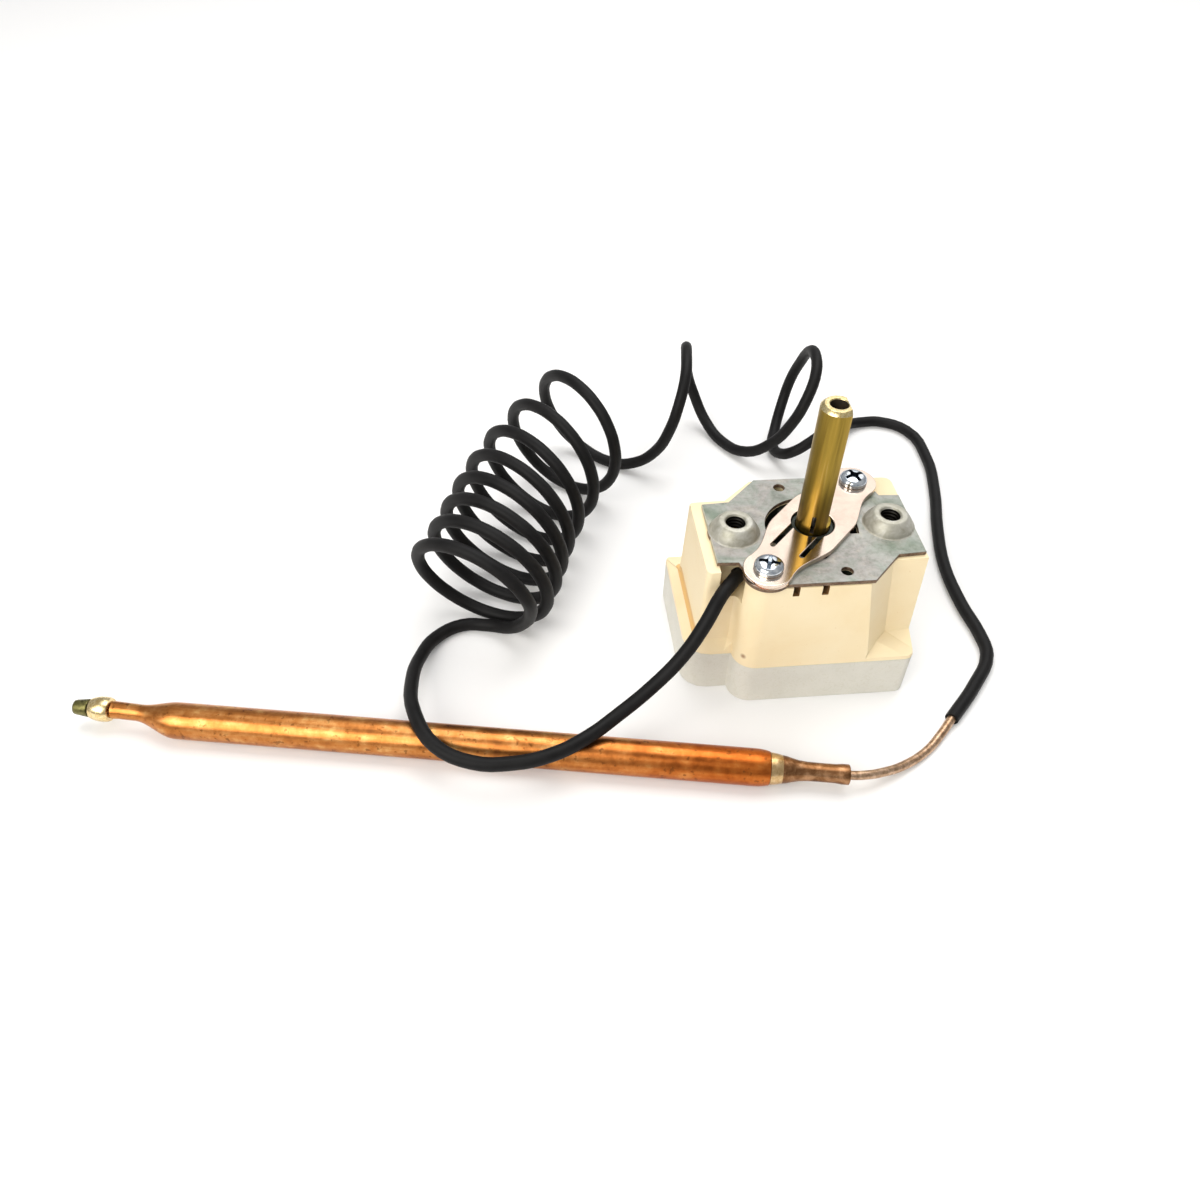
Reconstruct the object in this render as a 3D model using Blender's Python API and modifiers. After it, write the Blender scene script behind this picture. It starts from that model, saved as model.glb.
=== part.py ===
# Capillary thermostat: moulded switch body with a D shaft, a capillary and a copper sensing bulb
import math
import bpy
import bmesh
import numpy as np
from mathutils import Matrix, Vector

mm = 0.001

# General fits
seat_gap = 0.3 * mm
running_gap = 0.35 * mm

# The shaft axis stands a little right of the middle of the body
shaft_x = 1.75 * mm

# Base moulding
base_height = 9.2 * mm
base_left = 22.8 * mm
base_right = 19.1 * mm
base_half_depth = 15.0 * mm
base_corner = 1.8 * mm
base_left_return = 1.4 * mm
base_left_flat = 2.356 * mm
base_back_corner = 0.8 * mm
base_left_front = 11.0 * mm
base_deck = 1.6 * mm
recess_left = 17.4 * mm
recess_right = 16.6 * mm
recess_half_depth = 10.4 * mm

# Housing moulding
housing_height = 18.6 * mm
left_ledge = 2.0 * mm
left_draft = 0.4 * mm
right_step = 0.2 * mm
front_step = 0.15 * mm
front_draft = 0.55 * mm
housing_wall = 2.4 * mm
housing_roof = 2.5 * mm
pillar_radius = 4.0 * mm
skirt_edge = 0.5 * mm
skirt_height = 2.5 * mm
left_block_front = 9.6 * mm
left_block_return = 0.756 * mm
back_chamfer_x = 8.2 * mm
back_chamfer = 5.2 * mm
front_chamfer_top = 6.9 * mm
front_chamfer_low = 9.6 * mm
chamfer_depth_top = 5.6 * mm
chamfer_depth_low = 4.5 * mm
cavity_half_depth = 5.2 * mm
opening_radius = 8.3 * mm
notch_width = 1.15 * mm
notch_height = 1.6 * mm
notch_depth = 4.0 * mm
notch_middle = 3.4 * mm
notch_spacing = 5.05 * mm
exit_left = 18.0 * mm
exit_right = 13.0 * mm
exit_back = 6.2 * mm
exit_depth = 5.4 * mm
exit_hole_radius = 1.1 * mm
exit_hole_x = 14.3 * mm
exit_hole_drop = 2.9 * mm

# Mounting plate
plate_thickness = 0.8 * mm
plate_past_boss = 4.5 * mm
plate_setback = 0.15 * mm
ear_half_width = 7.9 * mm
plate_chamfer_x = 7.6 * mm
plate_ear_x = 13.5 * mm
lobe_radius = 4.1 * mm
boss_spacing = 28.0 * mm
boss_height = 2.4 * mm
boss_foot_radius = 4.45 * mm
boss_rim_radius = 3.1 * mm
boss_hole_radius = 1.75 * mm
boss_well_clear = 0.5 * mm
boss_well_depth = 2.0 * mm
peg_hole_radius = 1.05 * mm
peg_hole_x = 3.27 * mm
peg_hole_edge = 2.55 * mm
peg_well_depth = 3.0 * mm

# Bearing strap and its screws
strap_thickness = 0.8 * mm
strap_boss_clear = 1.67 * mm
strap_flare = 2.15 * mm
strap_shoulder = 3.0 * mm
strap_waist_end = 2.8 * mm
strap_end_radius = 4.3 * mm
strap_hole_radius = 4.15 * mm
slit_width = 0.8 * mm
slit_edge_near = 1.15 * mm
slit_edge_far = 1.55 * mm
slit_end_near = 5.8 * mm
slit_end_far = 5.2 * mm
screw_edge = 3.106 * mm
screw_inset = 3.556 * mm
screw_head_radius = 2.55 * mm
screw_head_height = 1.75 * mm
screw_shank_radius = 1.4 * mm
screw_shank_length = 9.0 * mm

# Shaft, hub and adjusting spindle
shaft_radius = 3.0 * mm
shaft_bore_radius = 1.5 * mm
shaft_height = 25.9 * mm
shaft_flat = 1.6 * mm
shaft_flat_angle = math.radians(0.0)
shaft_flat_length = 24.0 * mm
shaft_chamfer = 0.65 * mm
shaft_slit_width = 0.55 * mm
shaft_slit_height = 3.6 * mm
shaft_slit_angle = math.radians(-110.0)
shaft_seat_drop = 4.2 * mm
hub_collar_radius = 3.75 * mm
hub_step_radius = 5.6 * mm
hub_step_height = 1.6 * mm
hub_flange_radius = 7.0 * mm
hub_flange_height = 1.5 * mm
hub_floor = 1.0 * mm
lug_reach = 0.8 * mm
lug_width = 1.6 * mm
lug_angle = math.radians(100.0)
stop_width = 1.8 * mm
spindle_range = math.radians(270.0)
spindle_radius = 2.4 * mm
spindle_room = 12.4 * mm
core_screw_radius = 1.15 * mm
core_screw_length = 11.0 * mm

# Capsule, pin and switch
carrier_wall = 1.3 * mm
carrier_rim_drop = 1.2 * mm
carrier_flange_radius = 6.4 * mm
carrier_floor = 0.9 * mm
capsule_radius = 7.5 * mm
capsule_height = 2.4 * mm
pin_radius = 1.4 * mm
blade_thickness = 0.3 * mm
blade_half_width = 2.2 * mm
blade_pivot_x = 11.0 * mm
blade_tail = 2.2 * mm
blade_reach = 10.8 * mm
contact_radius = 1.5 * mm
contact_thickness = 0.6 * mm
contact_x = 9.4 * mm
tab_width = 6.3 * mm
tab_thickness = 0.8 * mm
foot_thickness = 0.6 * mm
foot_half_length = 2.4 * mm
post_x = 13.4 * mm
rivet_radius = 0.8 * mm
rivet_head_radius = 1.3 * mm
rivet_head_height = 0.6 * mm
tab_clear = 0.6 * mm

# Capillary, its sheath and the bulb
sheath_radius = 1.05 * mm
capillary_radius = 0.6 * mm
coil_radius = 12.8 * mm
coil_near = (-61.4 * mm, 3.1 * mm)
coil_bow_near = (-51.4 * mm, 19.5 * mm)
coil_bow_far = (-56.7 * mm, 29.6 * mm)
coil_far = (-30.4 * mm, 63.5 * mm)
coil_start = 0.10
coil_end = 0.963
bulb_radius = 3.25 * mm
bulb_body_start = 13.6 * mm
bulb_body_end = 127.6 * mm
bulb_shoulder = 2.6 * mm
bulb_taper = 8.2 * mm
bulb_waist_radius = 1.5 * mm
bulb_waist = 3.2 * mm
neck_radius = 1.75 * mm
ring_radius = 2.85 * mm
ring_width = 1.5 * mm
braze_radius = 2.05 * mm
braze_width = 3.9 * mm
tail_radius = 1.6 * mm
tail_length = 6.4 * mm
bulb_end = Vector((2.2 * mm, -35.05 * mm, 0.0))
bulb_turn = math.radians(169.6)

# Sides of the housing and the plate, which follow the base's
housing_left = base_left - left_ledge
housing_left_top = housing_left - left_draft
housing_right = base_right - right_step
housing_half_depth = base_half_depth - front_step
housing_half_depth_top = housing_half_depth - front_draft
plate_half_depth = housing_half_depth_top - plate_setback

# Plate ends, strap and screws, which follow the plate's edge and the bosses
plate_half_length = boss_spacing / 2 + plate_past_boss
screw_x = boss_spacing / 2 - screw_inset
screw_y = plate_half_depth - screw_edge
screw_reach = math.hypot(screw_x, screw_y)
strap_angle = math.atan2(screw_y, screw_x)
strap_neck_half_width = math.sin(strap_angle) * boss_spacing / 2 - boss_foot_radius - strap_boss_clear
strap_half_width = strap_neck_half_width + strap_flare
left_block_end = screw_x + pillar_radius + left_block_return
base_left_end = screw_x + pillar_radius + base_left_return
base_left_corner = base_left - base_left_end - base_left_flat
peg_hole_y = plate_half_depth - peg_hole_edge

# Spindle and its carrier, which fill the height left under the hub
spindle_length = housing_height - spindle_room
carrier_height = spindle_length - carrier_rim_drop

# Heights that follow from the sizes above
housing_bottom = base_height + seat_gap
housing_top = housing_bottom + housing_height
plate_bottom = housing_top + seat_gap
plate_top = plate_bottom + plate_thickness
strap_bottom = plate_top + seat_gap
strap_top = strap_bottom + strap_thickness
roof_bottom = housing_top - housing_roof

part = bpy.data.collections.new("capillary_thermostat")
cutters = bpy.data.collections.new("capillary_thermostat_cutters")


def clear_scene():
    for old in list(bpy.data.objects):
        bpy.data.objects.remove(old, do_unlink=True)
    bpy.context.scene.collection.children.link(part)
    bpy.context.scene.collection.children.link(cutters)


def material(name, colour, roughness, metallic):
    mat = bpy.data.materials.new(name)
    mat.use_nodes = True
    shader = mat.node_tree.nodes["Principled BSDF"]
    shader.inputs["Base Color"].default_value = (*colour, 1.0)
    shader.inputs["Roughness"].default_value = roughness
    shader.inputs["Metallic"].default_value = metallic
    return mat


def keep(obj, name, mat):
    obj.name = name
    obj.data.name = name
    obj.data.materials.clear()
    obj.data.materials.append(mat)
    for old in list(obj.users_collection):
        old.objects.unlink(obj)
    part.objects.link(obj)
    return obj


def as_cutter(obj, name):
    obj.name = name
    obj.hide_render = True
    obj.display_type = 'WIRE'
    for old in list(obj.users_collection):
        old.objects.unlink(obj)
    cutters.objects.link(obj)
    return obj


def boolean(obj, other, operation):
    mod = obj.modifiers.new(operation.lower(), 'BOOLEAN')
    mod.operation = operation
    mod.solver = 'EXACT'
    mod.object = other


def cut(obj, *tools):
    for index, tool in enumerate(tools):
        boolean(obj, as_cutter(tool, obj.name + "_cut_" + str(len(obj.modifiers))), 'DIFFERENCE')


def join(obj, *tools):
    for tool in tools:
        boolean(obj, as_cutter(tool, obj.name + "_add_" + str(len(obj.modifiers))), 'UNION')


def smooth_shade(obj, angle=35.0):
    obj.data.shade_smooth()
    obj.data.set_sharp_from_angle(angle=math.radians(angle))


def curve_to_mesh(obj):
    bpy.context.view_layer.update()
    shape = obj.evaluated_get(bpy.context.evaluated_depsgraph_get())
    data = bpy.data.meshes.new_from_object(shape)
    work = bmesh.new()
    work.from_mesh(data)
    bmesh.ops.remove_doubles(work, verts=work.verts, dist=0.000001)
    work.to_mesh(data)
    work.free()
    solid = bpy.data.objects.new("solid", data)
    bpy.context.scene.collection.objects.link(solid)
    solid.matrix_world = obj.matrix_world.copy()
    bpy.data.objects.remove(obj, do_unlink=True)
    return solid


def outline_curve(points, thickness):
    data = bpy.data.curves.new("outline", 'CURVE')
    data.dimensions = '2D'
    data.fill_mode = 'BOTH'
    data.extrude = thickness / 2
    spline = data.splines.new('POLY')
    spline.points.add(len(points) - 1)
    for spot, (x, y) in zip(spline.points, points):
        spot.co = (x, y, 0.0, 1.0)
    spline.use_cyclic_u = True
    obj = bpy.data.objects.new("outline", data)
    bpy.context.scene.collection.objects.link(obj)
    return obj


def slab(points, low, high):
    obj = outline_curve(points, high - low)
    obj.location = (shaft_x, 0.0, (low + high) / 2)
    return curve_to_mesh(obj)


def cylinder(radius, low, high, x=0.0, y=0.0, sides=40):
    bpy.ops.mesh.primitive_cylinder_add(vertices=sides, radius=radius, depth=high - low,
                                        location=(shaft_x + x, y, (low + high) / 2))
    return bpy.context.object


def box(x0, x1, y0, y1, z0, z1):
    bpy.ops.mesh.primitive_cube_add(size=1.0, location=(shaft_x + (x0 + x1) / 2, (y0 + y1) / 2, (z0 + z1) / 2))
    obj = bpy.context.object
    obj.data.transform(Matrix.Diagonal((x1 - x0, y1 - y0, z1 - z0, 1.0)))
    return obj


def turned_box(size, radius, angle, z0, z1):
    x = shaft_x + radius * math.cos(angle)
    y = radius * math.sin(angle)
    bpy.ops.mesh.primitive_cube_add(size=1.0, location=(x, y, (z0 + z1) / 2), rotation=(0.0, 0.0, angle))
    obj = bpy.context.object
    obj.data.transform(Matrix.Diagonal((size[0], size[1], z1 - z0, 1.0)))
    return obj


def turned(profile, sides=40, x=0.0, y=0.0):
    # The profile is listed from the top of its outer side down, and closes on itself or on the axis
    data = bpy.data.meshes.new("turned")
    closed = min(r for r, z in profile) > 0.0
    edges = [(i, i + 1) for i in range(len(profile) - 1)]
    if closed:
        edges.append((len(profile) - 1, 0))
    data.from_pydata([(r, 0.0, z) for r, z in profile], edges, [])
    obj = bpy.data.objects.new("turned", data)
    bpy.context.scene.collection.objects.link(obj)
    obj.location = (shaft_x + x, y, 0.0)
    screw = obj.modifiers.new("screw", 'SCREW')
    screw.axis = 'Z'
    screw.steps = sides
    screw.render_steps = sides
    screw.use_merge_vertices = True
    screw.merge_threshold = 0.00001
    screw.use_normal_calculate = False
    return obj


def arc(cx, cy, radius, start, end, steps):
    points = []
    for i in range(steps + 1):
        a = math.radians(start + (end - start) * i / steps)
        points.append((cx + radius * math.cos(a), cy + radius * math.sin(a)))
    return points


def loft(rings):
    # Rings of equal count at their own heights, joined by walls and closed at both ends
    work = bmesh.new()
    levels = []
    for ring, height in rings:
        levels.append([work.verts.new((x, y, height)) for x, y in ring])
    count = len(levels[0])
    for low, high in zip(levels, levels[1:]):
        for i in range(count):
            j = (i + 1) % count
            work.faces.new((low[i], low[j], high[j], high[i]))
    work.faces.new(levels[-1])
    work.faces.new(list(reversed(levels[0])))
    bmesh.ops.triangulate(work, faces=[face for face in work.faces if len(face.verts) == 4])
    bmesh.ops.recalc_face_normals(work, faces=work.faces)
    data = bpy.data.meshes.new("loft")
    work.to_mesh(data)
    work.free()
    obj = bpy.data.objects.new("loft", data)
    bpy.context.scene.collection.objects.link(obj)
    obj.location = (shaft_x, 0.0, 0.0)
    return obj


def smooth_route(points, spacing):
    # Centripetal curve through the route's points, read at an even spacing
    knots = np.array(points, dtype=float)
    ends = np.vstack([2 * knots[0] - knots[1], knots, 2 * knots[-1] - knots[-2]])
    dense = []
    for i in range(1, len(ends) - 2):
        p0, p1, p2, p3 = ends[i - 1:i + 3]
        t = [0.0]
        for a, b in ((p0, p1), (p1, p2), (p2, p3)):
            t.append(t[-1] + math.sqrt(np.linalg.norm(b - a)))
        for s in np.linspace(t[1], t[2], 16, endpoint=False):
            a1 = (t[1] - s) / (t[1] - t[0]) * p0 + (s - t[0]) / (t[1] - t[0]) * p1
            a2 = (t[2] - s) / (t[2] - t[1]) * p1 + (s - t[1]) / (t[2] - t[1]) * p2
            a3 = (t[3] - s) / (t[3] - t[2]) * p2 + (s - t[2]) / (t[3] - t[2]) * p3
            b1 = (t[2] - s) / (t[2] - t[0]) * a1 + (s - t[0]) / (t[2] - t[0]) * a2
            b2 = (t[3] - s) / (t[3] - t[1]) * a2 + (s - t[1]) / (t[3] - t[1]) * a3
            dense.append((t[2] - s) / (t[2] - t[1]) * b1 + (s - t[1]) / (t[2] - t[1]) * b2)
    dense.append(knots[-1])
    dense = np.array(dense)
    run = np.r_[0.0, np.cumsum(np.linalg.norm(np.diff(dense, axis=0), axis=1))]
    count = max(2, int(round(run[-1] / spacing)) + 1)
    marks = np.linspace(0.0, run[-1], count)
    return [Vector([np.interp(m, run, dense[:, k]) for k in range(3)]) for m in marks]


def tube(points, radius, resolution=2):
    data = bpy.data.curves.new("tube", 'CURVE')
    data.dimensions = '3D'
    data.bevel_depth = radius
    data.bevel_resolution = resolution
    data.use_fill_caps = True
    spline = data.splines.new('POLY')
    spline.points.add(len(points) - 1)
    for spot, point in zip(spline.points, points):
        spot.co = (point[0], point[1], point[2], 1.0)
    obj = bpy.data.objects.new("tube", data)
    bpy.context.scene.collection.objects.link(obj)
    obj.location = (shaft_x, 0.0, 0.0)
    return obj


def share_of(start, end, share):
    return (start[0] + (end[0] - start[0]) * share, start[1] + (end[1] - start[1]) * share)


def base_outline(inset=0.0):
    front = base_half_depth - inset
    left = base_left - inset
    right = base_right - inset
    corner = base_corner
    points = arc(-screw_x, -front + pillar_radius, pillar_radius, 180.0, 270.0, 8)
    points += [(front_chamfer_low, -front)]
    points += arc(right - corner, -front + corner, corner, 270.0, 360.0, 3)
    points += [(right, -front + chamfer_depth_low + 1.0 * mm)]
    points += arc(right - corner, front - corner, corner, 0.0, 90.0, 4)
    points += [(-back_chamfer_x, front), (-back_chamfer_x - back_chamfer, front)]
    points += arc(-left + base_back_corner, front - base_back_corner, base_back_corner, 90.0, 180.0, 4)
    points += arc(-left + base_left_corner, -base_left_front + inset + base_left_corner, base_left_corner, 180.0, 270.0, 4)
    points += [(-base_left_end, -base_left_front + inset)]
    return points


def make_base(mat):
    body = loft([(base_outline(), 0.0), (base_outline(), base_height)])
    body.name = "base"
    pocket = box(-recess_left, recess_right, -recess_half_depth, recess_half_depth, -1.0 * mm, base_height - base_deck)
    slots = []
    for x in (-blade_pivot_x, post_x):
        slots.append(box(x - tab_thickness / 2 - seat_gap, x + tab_thickness / 2 + seat_gap,
                         -tab_width / 2 - seat_gap, tab_width / 2 + seat_gap,
                         base_height - base_deck - 1.0 * mm, base_height + 1.0 * mm))
    cut(body, pocket, *slots)
    return keep(body, "base", mat)


def housing_outline(left, front, chamfer_x, chamfer_depth, ear_drop):
    corner = (chamfer_x, -front)
    elbow = (chamfer_x + chamfer_depth, -front + chamfer_depth)
    ear = (housing_right, -front + chamfer_depth + ear_drop)
    points = arc(-screw_x, -front + pillar_radius, pillar_radius, 180.0, 270.0, 8)
    points += [corner, share_of(corner, elbow, 0.5), share_of(corner, elbow, 0.95)]
    points += [elbow, share_of(elbow, ear, 0.06), ear]
    points += arc(housing_right - 1.5 * mm, front - 1.5 * mm, 1.5 * mm, 0.0, 90.0, 4)
    points += [(-back_chamfer_x, front), (-back_chamfer_x - back_chamfer, front - back_chamfer)]
    points += arc(-left + 1.2 * mm, front - back_chamfer - 1.4 * mm, 1.2 * mm, 90.0, 180.0, 4)
    points += arc(-left + 1.0 * mm, -left_block_front + 1.0 * mm, 1.0 * mm, 180.0, 270.0, 4)
    points += [(-left_block_end, -left_block_front)]
    return points


def stop_angles():
    # One stop at each end of the lug's turn
    away = (lug_width / 2 + stop_width / 2 + seat_gap) / (hub_flange_radius + lug_reach / 2)
    return lug_angle + away, lug_angle - spindle_range - away


def make_housing(mat):
    skirt_top = housing_bottom + skirt_height
    low_ring = housing_outline(housing_left, housing_half_depth, front_chamfer_low, chamfer_depth_low, 0.5 * mm)
    high_ring = housing_outline(housing_left_top, housing_half_depth_top, front_chamfer_top, chamfer_depth_top, 0.2 * mm)
    body = loft([(base_outline(), housing_bottom), (base_outline(0.1 * mm), housing_bottom + skirt_edge),
                 (low_ring, skirt_top), (high_ring, housing_top)])
    body.name = "housing"
    cavity = box(-housing_left + housing_wall, housing_right - housing_wall, -cavity_half_depth, cavity_half_depth,
                 housing_bottom - 1.0 * mm, roof_bottom)
    well = cylinder(capsule_radius + 1.0 * mm, housing_bottom - 0.7 * mm, roof_bottom - 0.2 * mm)
    opening = cylinder(opening_radius, roof_bottom - 0.8 * mm, housing_top + 1.0 * mm)
    cut(body, cavity, well, opening)
    for x in (-notch_middle - notch_spacing / 2, -notch_middle + notch_spacing / 2):
        cut(body, box(x - notch_width / 2, x + notch_width / 2, -housing_half_depth - 1.0 * mm,
                      -housing_half_depth_top + notch_depth, housing_top - notch_height, housing_top + 1.0 * mm))
    cut(body, box(-exit_left, -exit_right, -left_block_front - 2.0 * mm, -exit_back,
                  housing_top - exit_depth, housing_top + 1.0 * mm))
    bpy.ops.mesh.primitive_cylinder_add(vertices=20, radius=exit_hole_radius, depth=4.0 * mm,
                                        location=(shaft_x - exit_hole_x, -cavity_half_depth - 1.0 * mm,
                                                  housing_top - exit_hole_drop),
                                        rotation=(math.radians(90.0), 0.0, 0.0))
    cut(body, bpy.context.object)
    for side in (-1, 1):
        cut(body, cylinder(screw_shank_radius + seat_gap, housing_top - screw_shank_length, housing_top + 1.0 * mm,
                           side * screw_x, side * screw_y, 24))
    for side in (-1, 1):
        cut(body, cylinder(boss_hole_radius + boss_well_clear, housing_top - boss_well_depth, housing_top + 1.0 * mm,
                           side * boss_spacing / 2, 0.0, 24))
        cut(body, cylinder(peg_hole_radius, housing_top - peg_well_depth, housing_top + 1.0 * mm,
                           side * peg_hole_x, -side * peg_hole_y, 20))
    stop_inner = hub_flange_radius + seat_gap
    stop_outer = opening_radius + 1.0 * mm
    for angle in stop_angles():
        join(body, turned_box((stop_outer - stop_inner, stop_width), (stop_outer + stop_inner) / 2, angle,
                              roof_bottom + 0.2 * mm, housing_top - 0.4 * mm))
    return keep(body, "housing", mat)


def plate_half(turn):
    points = [(-plate_half_length, ear_half_width - 0.1 * mm), (-plate_half_length, -ear_half_width)]
    points += [(-left_block_end + 0.4 * mm, -ear_half_width - 0.2 * mm)]
    points += arc(-screw_x, -screw_y, lobe_radius, 160.0, 312.0, 14)
    points += [(plate_chamfer_x, -plate_half_depth), (plate_ear_x, -ear_half_width - 0.2 * mm)]
    if turn:
        points = [(-x, -y) for x, y in points]
    return points


def make_plate(mat):
    body = slab(plate_half(False) + plate_half(True), plate_bottom, plate_top)
    body.name = "mounting_plate"
    for side in (-1, 1):
        x = side * boss_spacing / 2
        profile = [(0.0, plate_top + boss_height), (boss_rim_radius - 0.3 * mm, plate_top + boss_height),
                   (boss_rim_radius + 0.1 * mm, plate_top + boss_height - 0.2 * mm),
                   (boss_foot_radius - 0.6 * mm, plate_top + boss_height * 0.62),
                   (boss_foot_radius - 0.2 * mm, plate_top + boss_height * 0.28),
                   (boss_foot_radius, plate_top), (boss_foot_radius - 0.2 * mm, plate_bottom + 0.2 * mm),
                   (0.0, plate_bottom + 0.2 * mm)]
        join(body, turned(profile, 36, x))
    for side in (-1, 1):
        cut(body, cylinder(boss_hole_radius, plate_bottom - 1.0 * mm, plate_top + boss_height + 1.0 * mm,
                           side * boss_spacing / 2, 0.0, 28))
        cut(body, cylinder(peg_hole_radius, plate_bottom - 1.0 * mm, plate_top + 1.0 * mm,
                           side * peg_hole_x, -side * peg_hole_y, 20))
        cut(body, cylinder(screw_shank_radius + seat_gap, plate_bottom - 1.0 * mm, plate_top + 1.0 * mm,
                           side * screw_x, side * screw_y, 24))
    cut(body, cylinder(opening_radius, plate_bottom - 1.0 * mm, plate_top + 1.0 * mm, 0.0, 0.0, 56))
    return keep(body, "mounting_plate", mat)


def strap_edge():
    wide, neck, end = strap_half_width, strap_neck_half_width, strap_end_radius
    start = strap_shoulder
    run = screw_reach - strap_waist_end - start
    edge = [(0.0, wide)]
    for way, share in ((0.0, 1.0), (0.21, 0.93), (0.43, 0.72), (0.64, 0.40), (0.85, 0.10), (1.0, 0.0)):
        edge.append((start + run * way, neck + (wide - neck) * share))
    edge += [(screw_reach + end * math.cos(math.radians(a)), end * math.sin(math.radians(a)))
             for a in (110.0, 95.0, 80.0, 65.0, 50.0, 35.0, 20.0, 7.0)]
    return edge


def make_strap(mat):
    quarter = strap_edge()
    ring = [(x, y) for x, y in quarter]
    ring += [(x, -y) for x, y in reversed(quarter)][:-1]
    ring += [(-x, -y) for x, y in quarter]
    ring += [(-x, y) for x, y in reversed(quarter)][:-1]
    ring = list(reversed(ring))
    turn = Matrix.Rotation(strap_angle, 2)
    body = slab([tuple(turn @ Vector(p)) for p in ring], strap_bottom, strap_top)
    body.name = "bearing_strap"
    cut(body, cylinder(strap_hole_radius, strap_bottom - 1.0 * mm, strap_top + 1.0 * mm, 0.0, 0.0, 48))
    for side in (-1, 1):
        cut(body, cylinder(screw_shank_radius + seat_gap, strap_bottom - 1.0 * mm, strap_top + 1.0 * mm,
                           side * screw_x, side * screw_y, 24))
    for side, edge, end in ((1, slit_edge_far, slit_end_far), (-1, slit_edge_near, slit_end_near)):
        across = side * (strap_neck_half_width - edge)
        start = 0.6 * strap_hole_radius
        length = screw_reach - end - start
        middle = Vector((-(start + length / 2), across))
        middle.rotate(turn)
        bpy.ops.mesh.primitive_cube_add(size=1.0, location=(shaft_x + middle.x, middle.y, strap_bottom + strap_thickness / 2),
                                        rotation=(0.0, 0.0, strap_angle))
        slit = bpy.context.object
        slit.data.transform(Matrix.Diagonal((length, slit_width, strap_thickness + 2.0 * mm, 1.0)))
        cut(body, slit)
    return keep(body, "bearing_strap", mat)


def make_screw(name, side, mat):
    seat = strap_top + seat_gap
    top = seat + screw_head_height
    foot = seat - screw_shank_length
    profile = [(0.0, top), (screw_head_radius * 0.62, top - 0.12 * mm), (screw_head_radius * 0.88, top - 0.5 * mm),
               (screw_head_radius, top - 1.0 * mm), (screw_head_radius, seat), (screw_shank_radius, seat),
               (screw_shank_radius, foot + 1.0 * mm), (0.0, foot)]
    body = turned(profile, 28, side * screw_x, side * screw_y)
    body.name = name
    for turn in (0.0, 90.0):
        bpy.ops.mesh.primitive_cube_add(size=1.0, location=(shaft_x + side * screw_x, side * screw_y, top),
                                        rotation=(0.0, 0.0, math.radians(turn + 20.0 * side)))
        slot = bpy.context.object
        slot.data.transform(Matrix.Diagonal((screw_head_radius * 1.25, 0.6 * mm, 1.6 * mm, 1.0)))
        cut(body, slot)
    return keep(body, name, mat)


def make_shaft(mat):
    low = plate_top - shaft_seat_drop
    top = plate_top + shaft_height
    profile = [(shaft_radius - shaft_chamfer, top), (shaft_radius, top - shaft_chamfer), (shaft_radius, low),
               (shaft_bore_radius, low), (shaft_bore_radius, top)]
    body = turned(profile, 40)
    body.name = "shaft"
    side = 4.0 * mm
    flat = turned_box((side, 3 * side), shaft_flat + side / 2, shaft_flat_angle, top - shaft_flat_length, top + 1.0 * mm)
    slit = turned_box((2 * shaft_radius, shaft_slit_width), shaft_radius + 0.4 * mm, shaft_slit_angle,
                      strap_top, strap_top + shaft_slit_height)
    cut(body, flat, slit)
    return keep(body, "shaft", mat)


def hub_heights():
    step_top = strap_bottom - seat_gap
    flange_top = step_top - hub_step_height - 0.6 * mm
    flange_low = flange_top - hub_flange_height
    floor_top = plate_top - shaft_seat_drop - seat_gap
    low = min(flange_low, floor_top) - hub_floor
    return step_top, flange_top, flange_low, floor_top, low


def make_hub(mat):
    step_top, flange_top, flange_low, floor_top, low = hub_heights()
    bore = shaft_radius + seat_gap
    profile = [(0.0, floor_top), (bore, floor_top), (bore, strap_top - 0.1 * mm), (hub_collar_radius, strap_top - 0.1 * mm),
               (hub_collar_radius, step_top), (hub_step_radius, step_top), (hub_step_radius, flange_top),
               (hub_flange_radius, flange_top), (hub_flange_radius, flange_low), (spindle_radius + 1.2 * mm, flange_low),
               (spindle_radius + 1.2 * mm, low), (0.0, low)]
    body = turned(profile, 40)
    body.name = "spindle_hub"
    lug = turned_box((2 * lug_reach, lug_width), hub_flange_radius, lug_angle, flange_low + 0.1 * mm, flange_top - 0.1 * mm)
    join(body, lug)
    return keep(body, "spindle_hub", mat)


def spindle_low():
    return hub_heights()[4] - seat_gap - spindle_length


def make_spindle(mat):
    top = hub_heights()[4] - seat_gap
    low = spindle_low()
    profile = [(0.0, top), (spindle_radius, top), (spindle_radius, low + 0.5 * mm), (spindle_radius - 0.5 * mm, low), (0.0, low)]
    return keep(turned(profile, 32), "adjusting_spindle", mat)


def make_core_screw(mat):
    low = plate_top - shaft_seat_drop
    top = low + core_screw_length
    profile = [(0.0, top), (core_screw_radius, top), (core_screw_radius, low), (0.0, low)]
    body = turned(profile, 24)
    body.name = "calibration_screw"
    cut(body, turned_box((4.0 * mm, 0.5 * mm), 0.0, math.radians(30.0), top - 0.8 * mm, top + 1.0 * mm))
    return keep(body, "calibration_screw", mat)


def carrier_low():
    return spindle_low() - seat_gap - carrier_floor


def make_carrier(mat):
    low = carrier_low()
    bore = spindle_radius + running_gap
    wall = bore + carrier_wall
    profile = [(0.0, low + carrier_floor), (bore, low + carrier_floor), (bore, low + carrier_height),
               (wall, low + carrier_height), (wall, low + 1.0 * mm), (carrier_flange_radius, low + 1.0 * mm),
               (carrier_flange_radius, low), (0.0, low)]
    return keep(turned(profile, 36), "capsule_carrier", mat)


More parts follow.
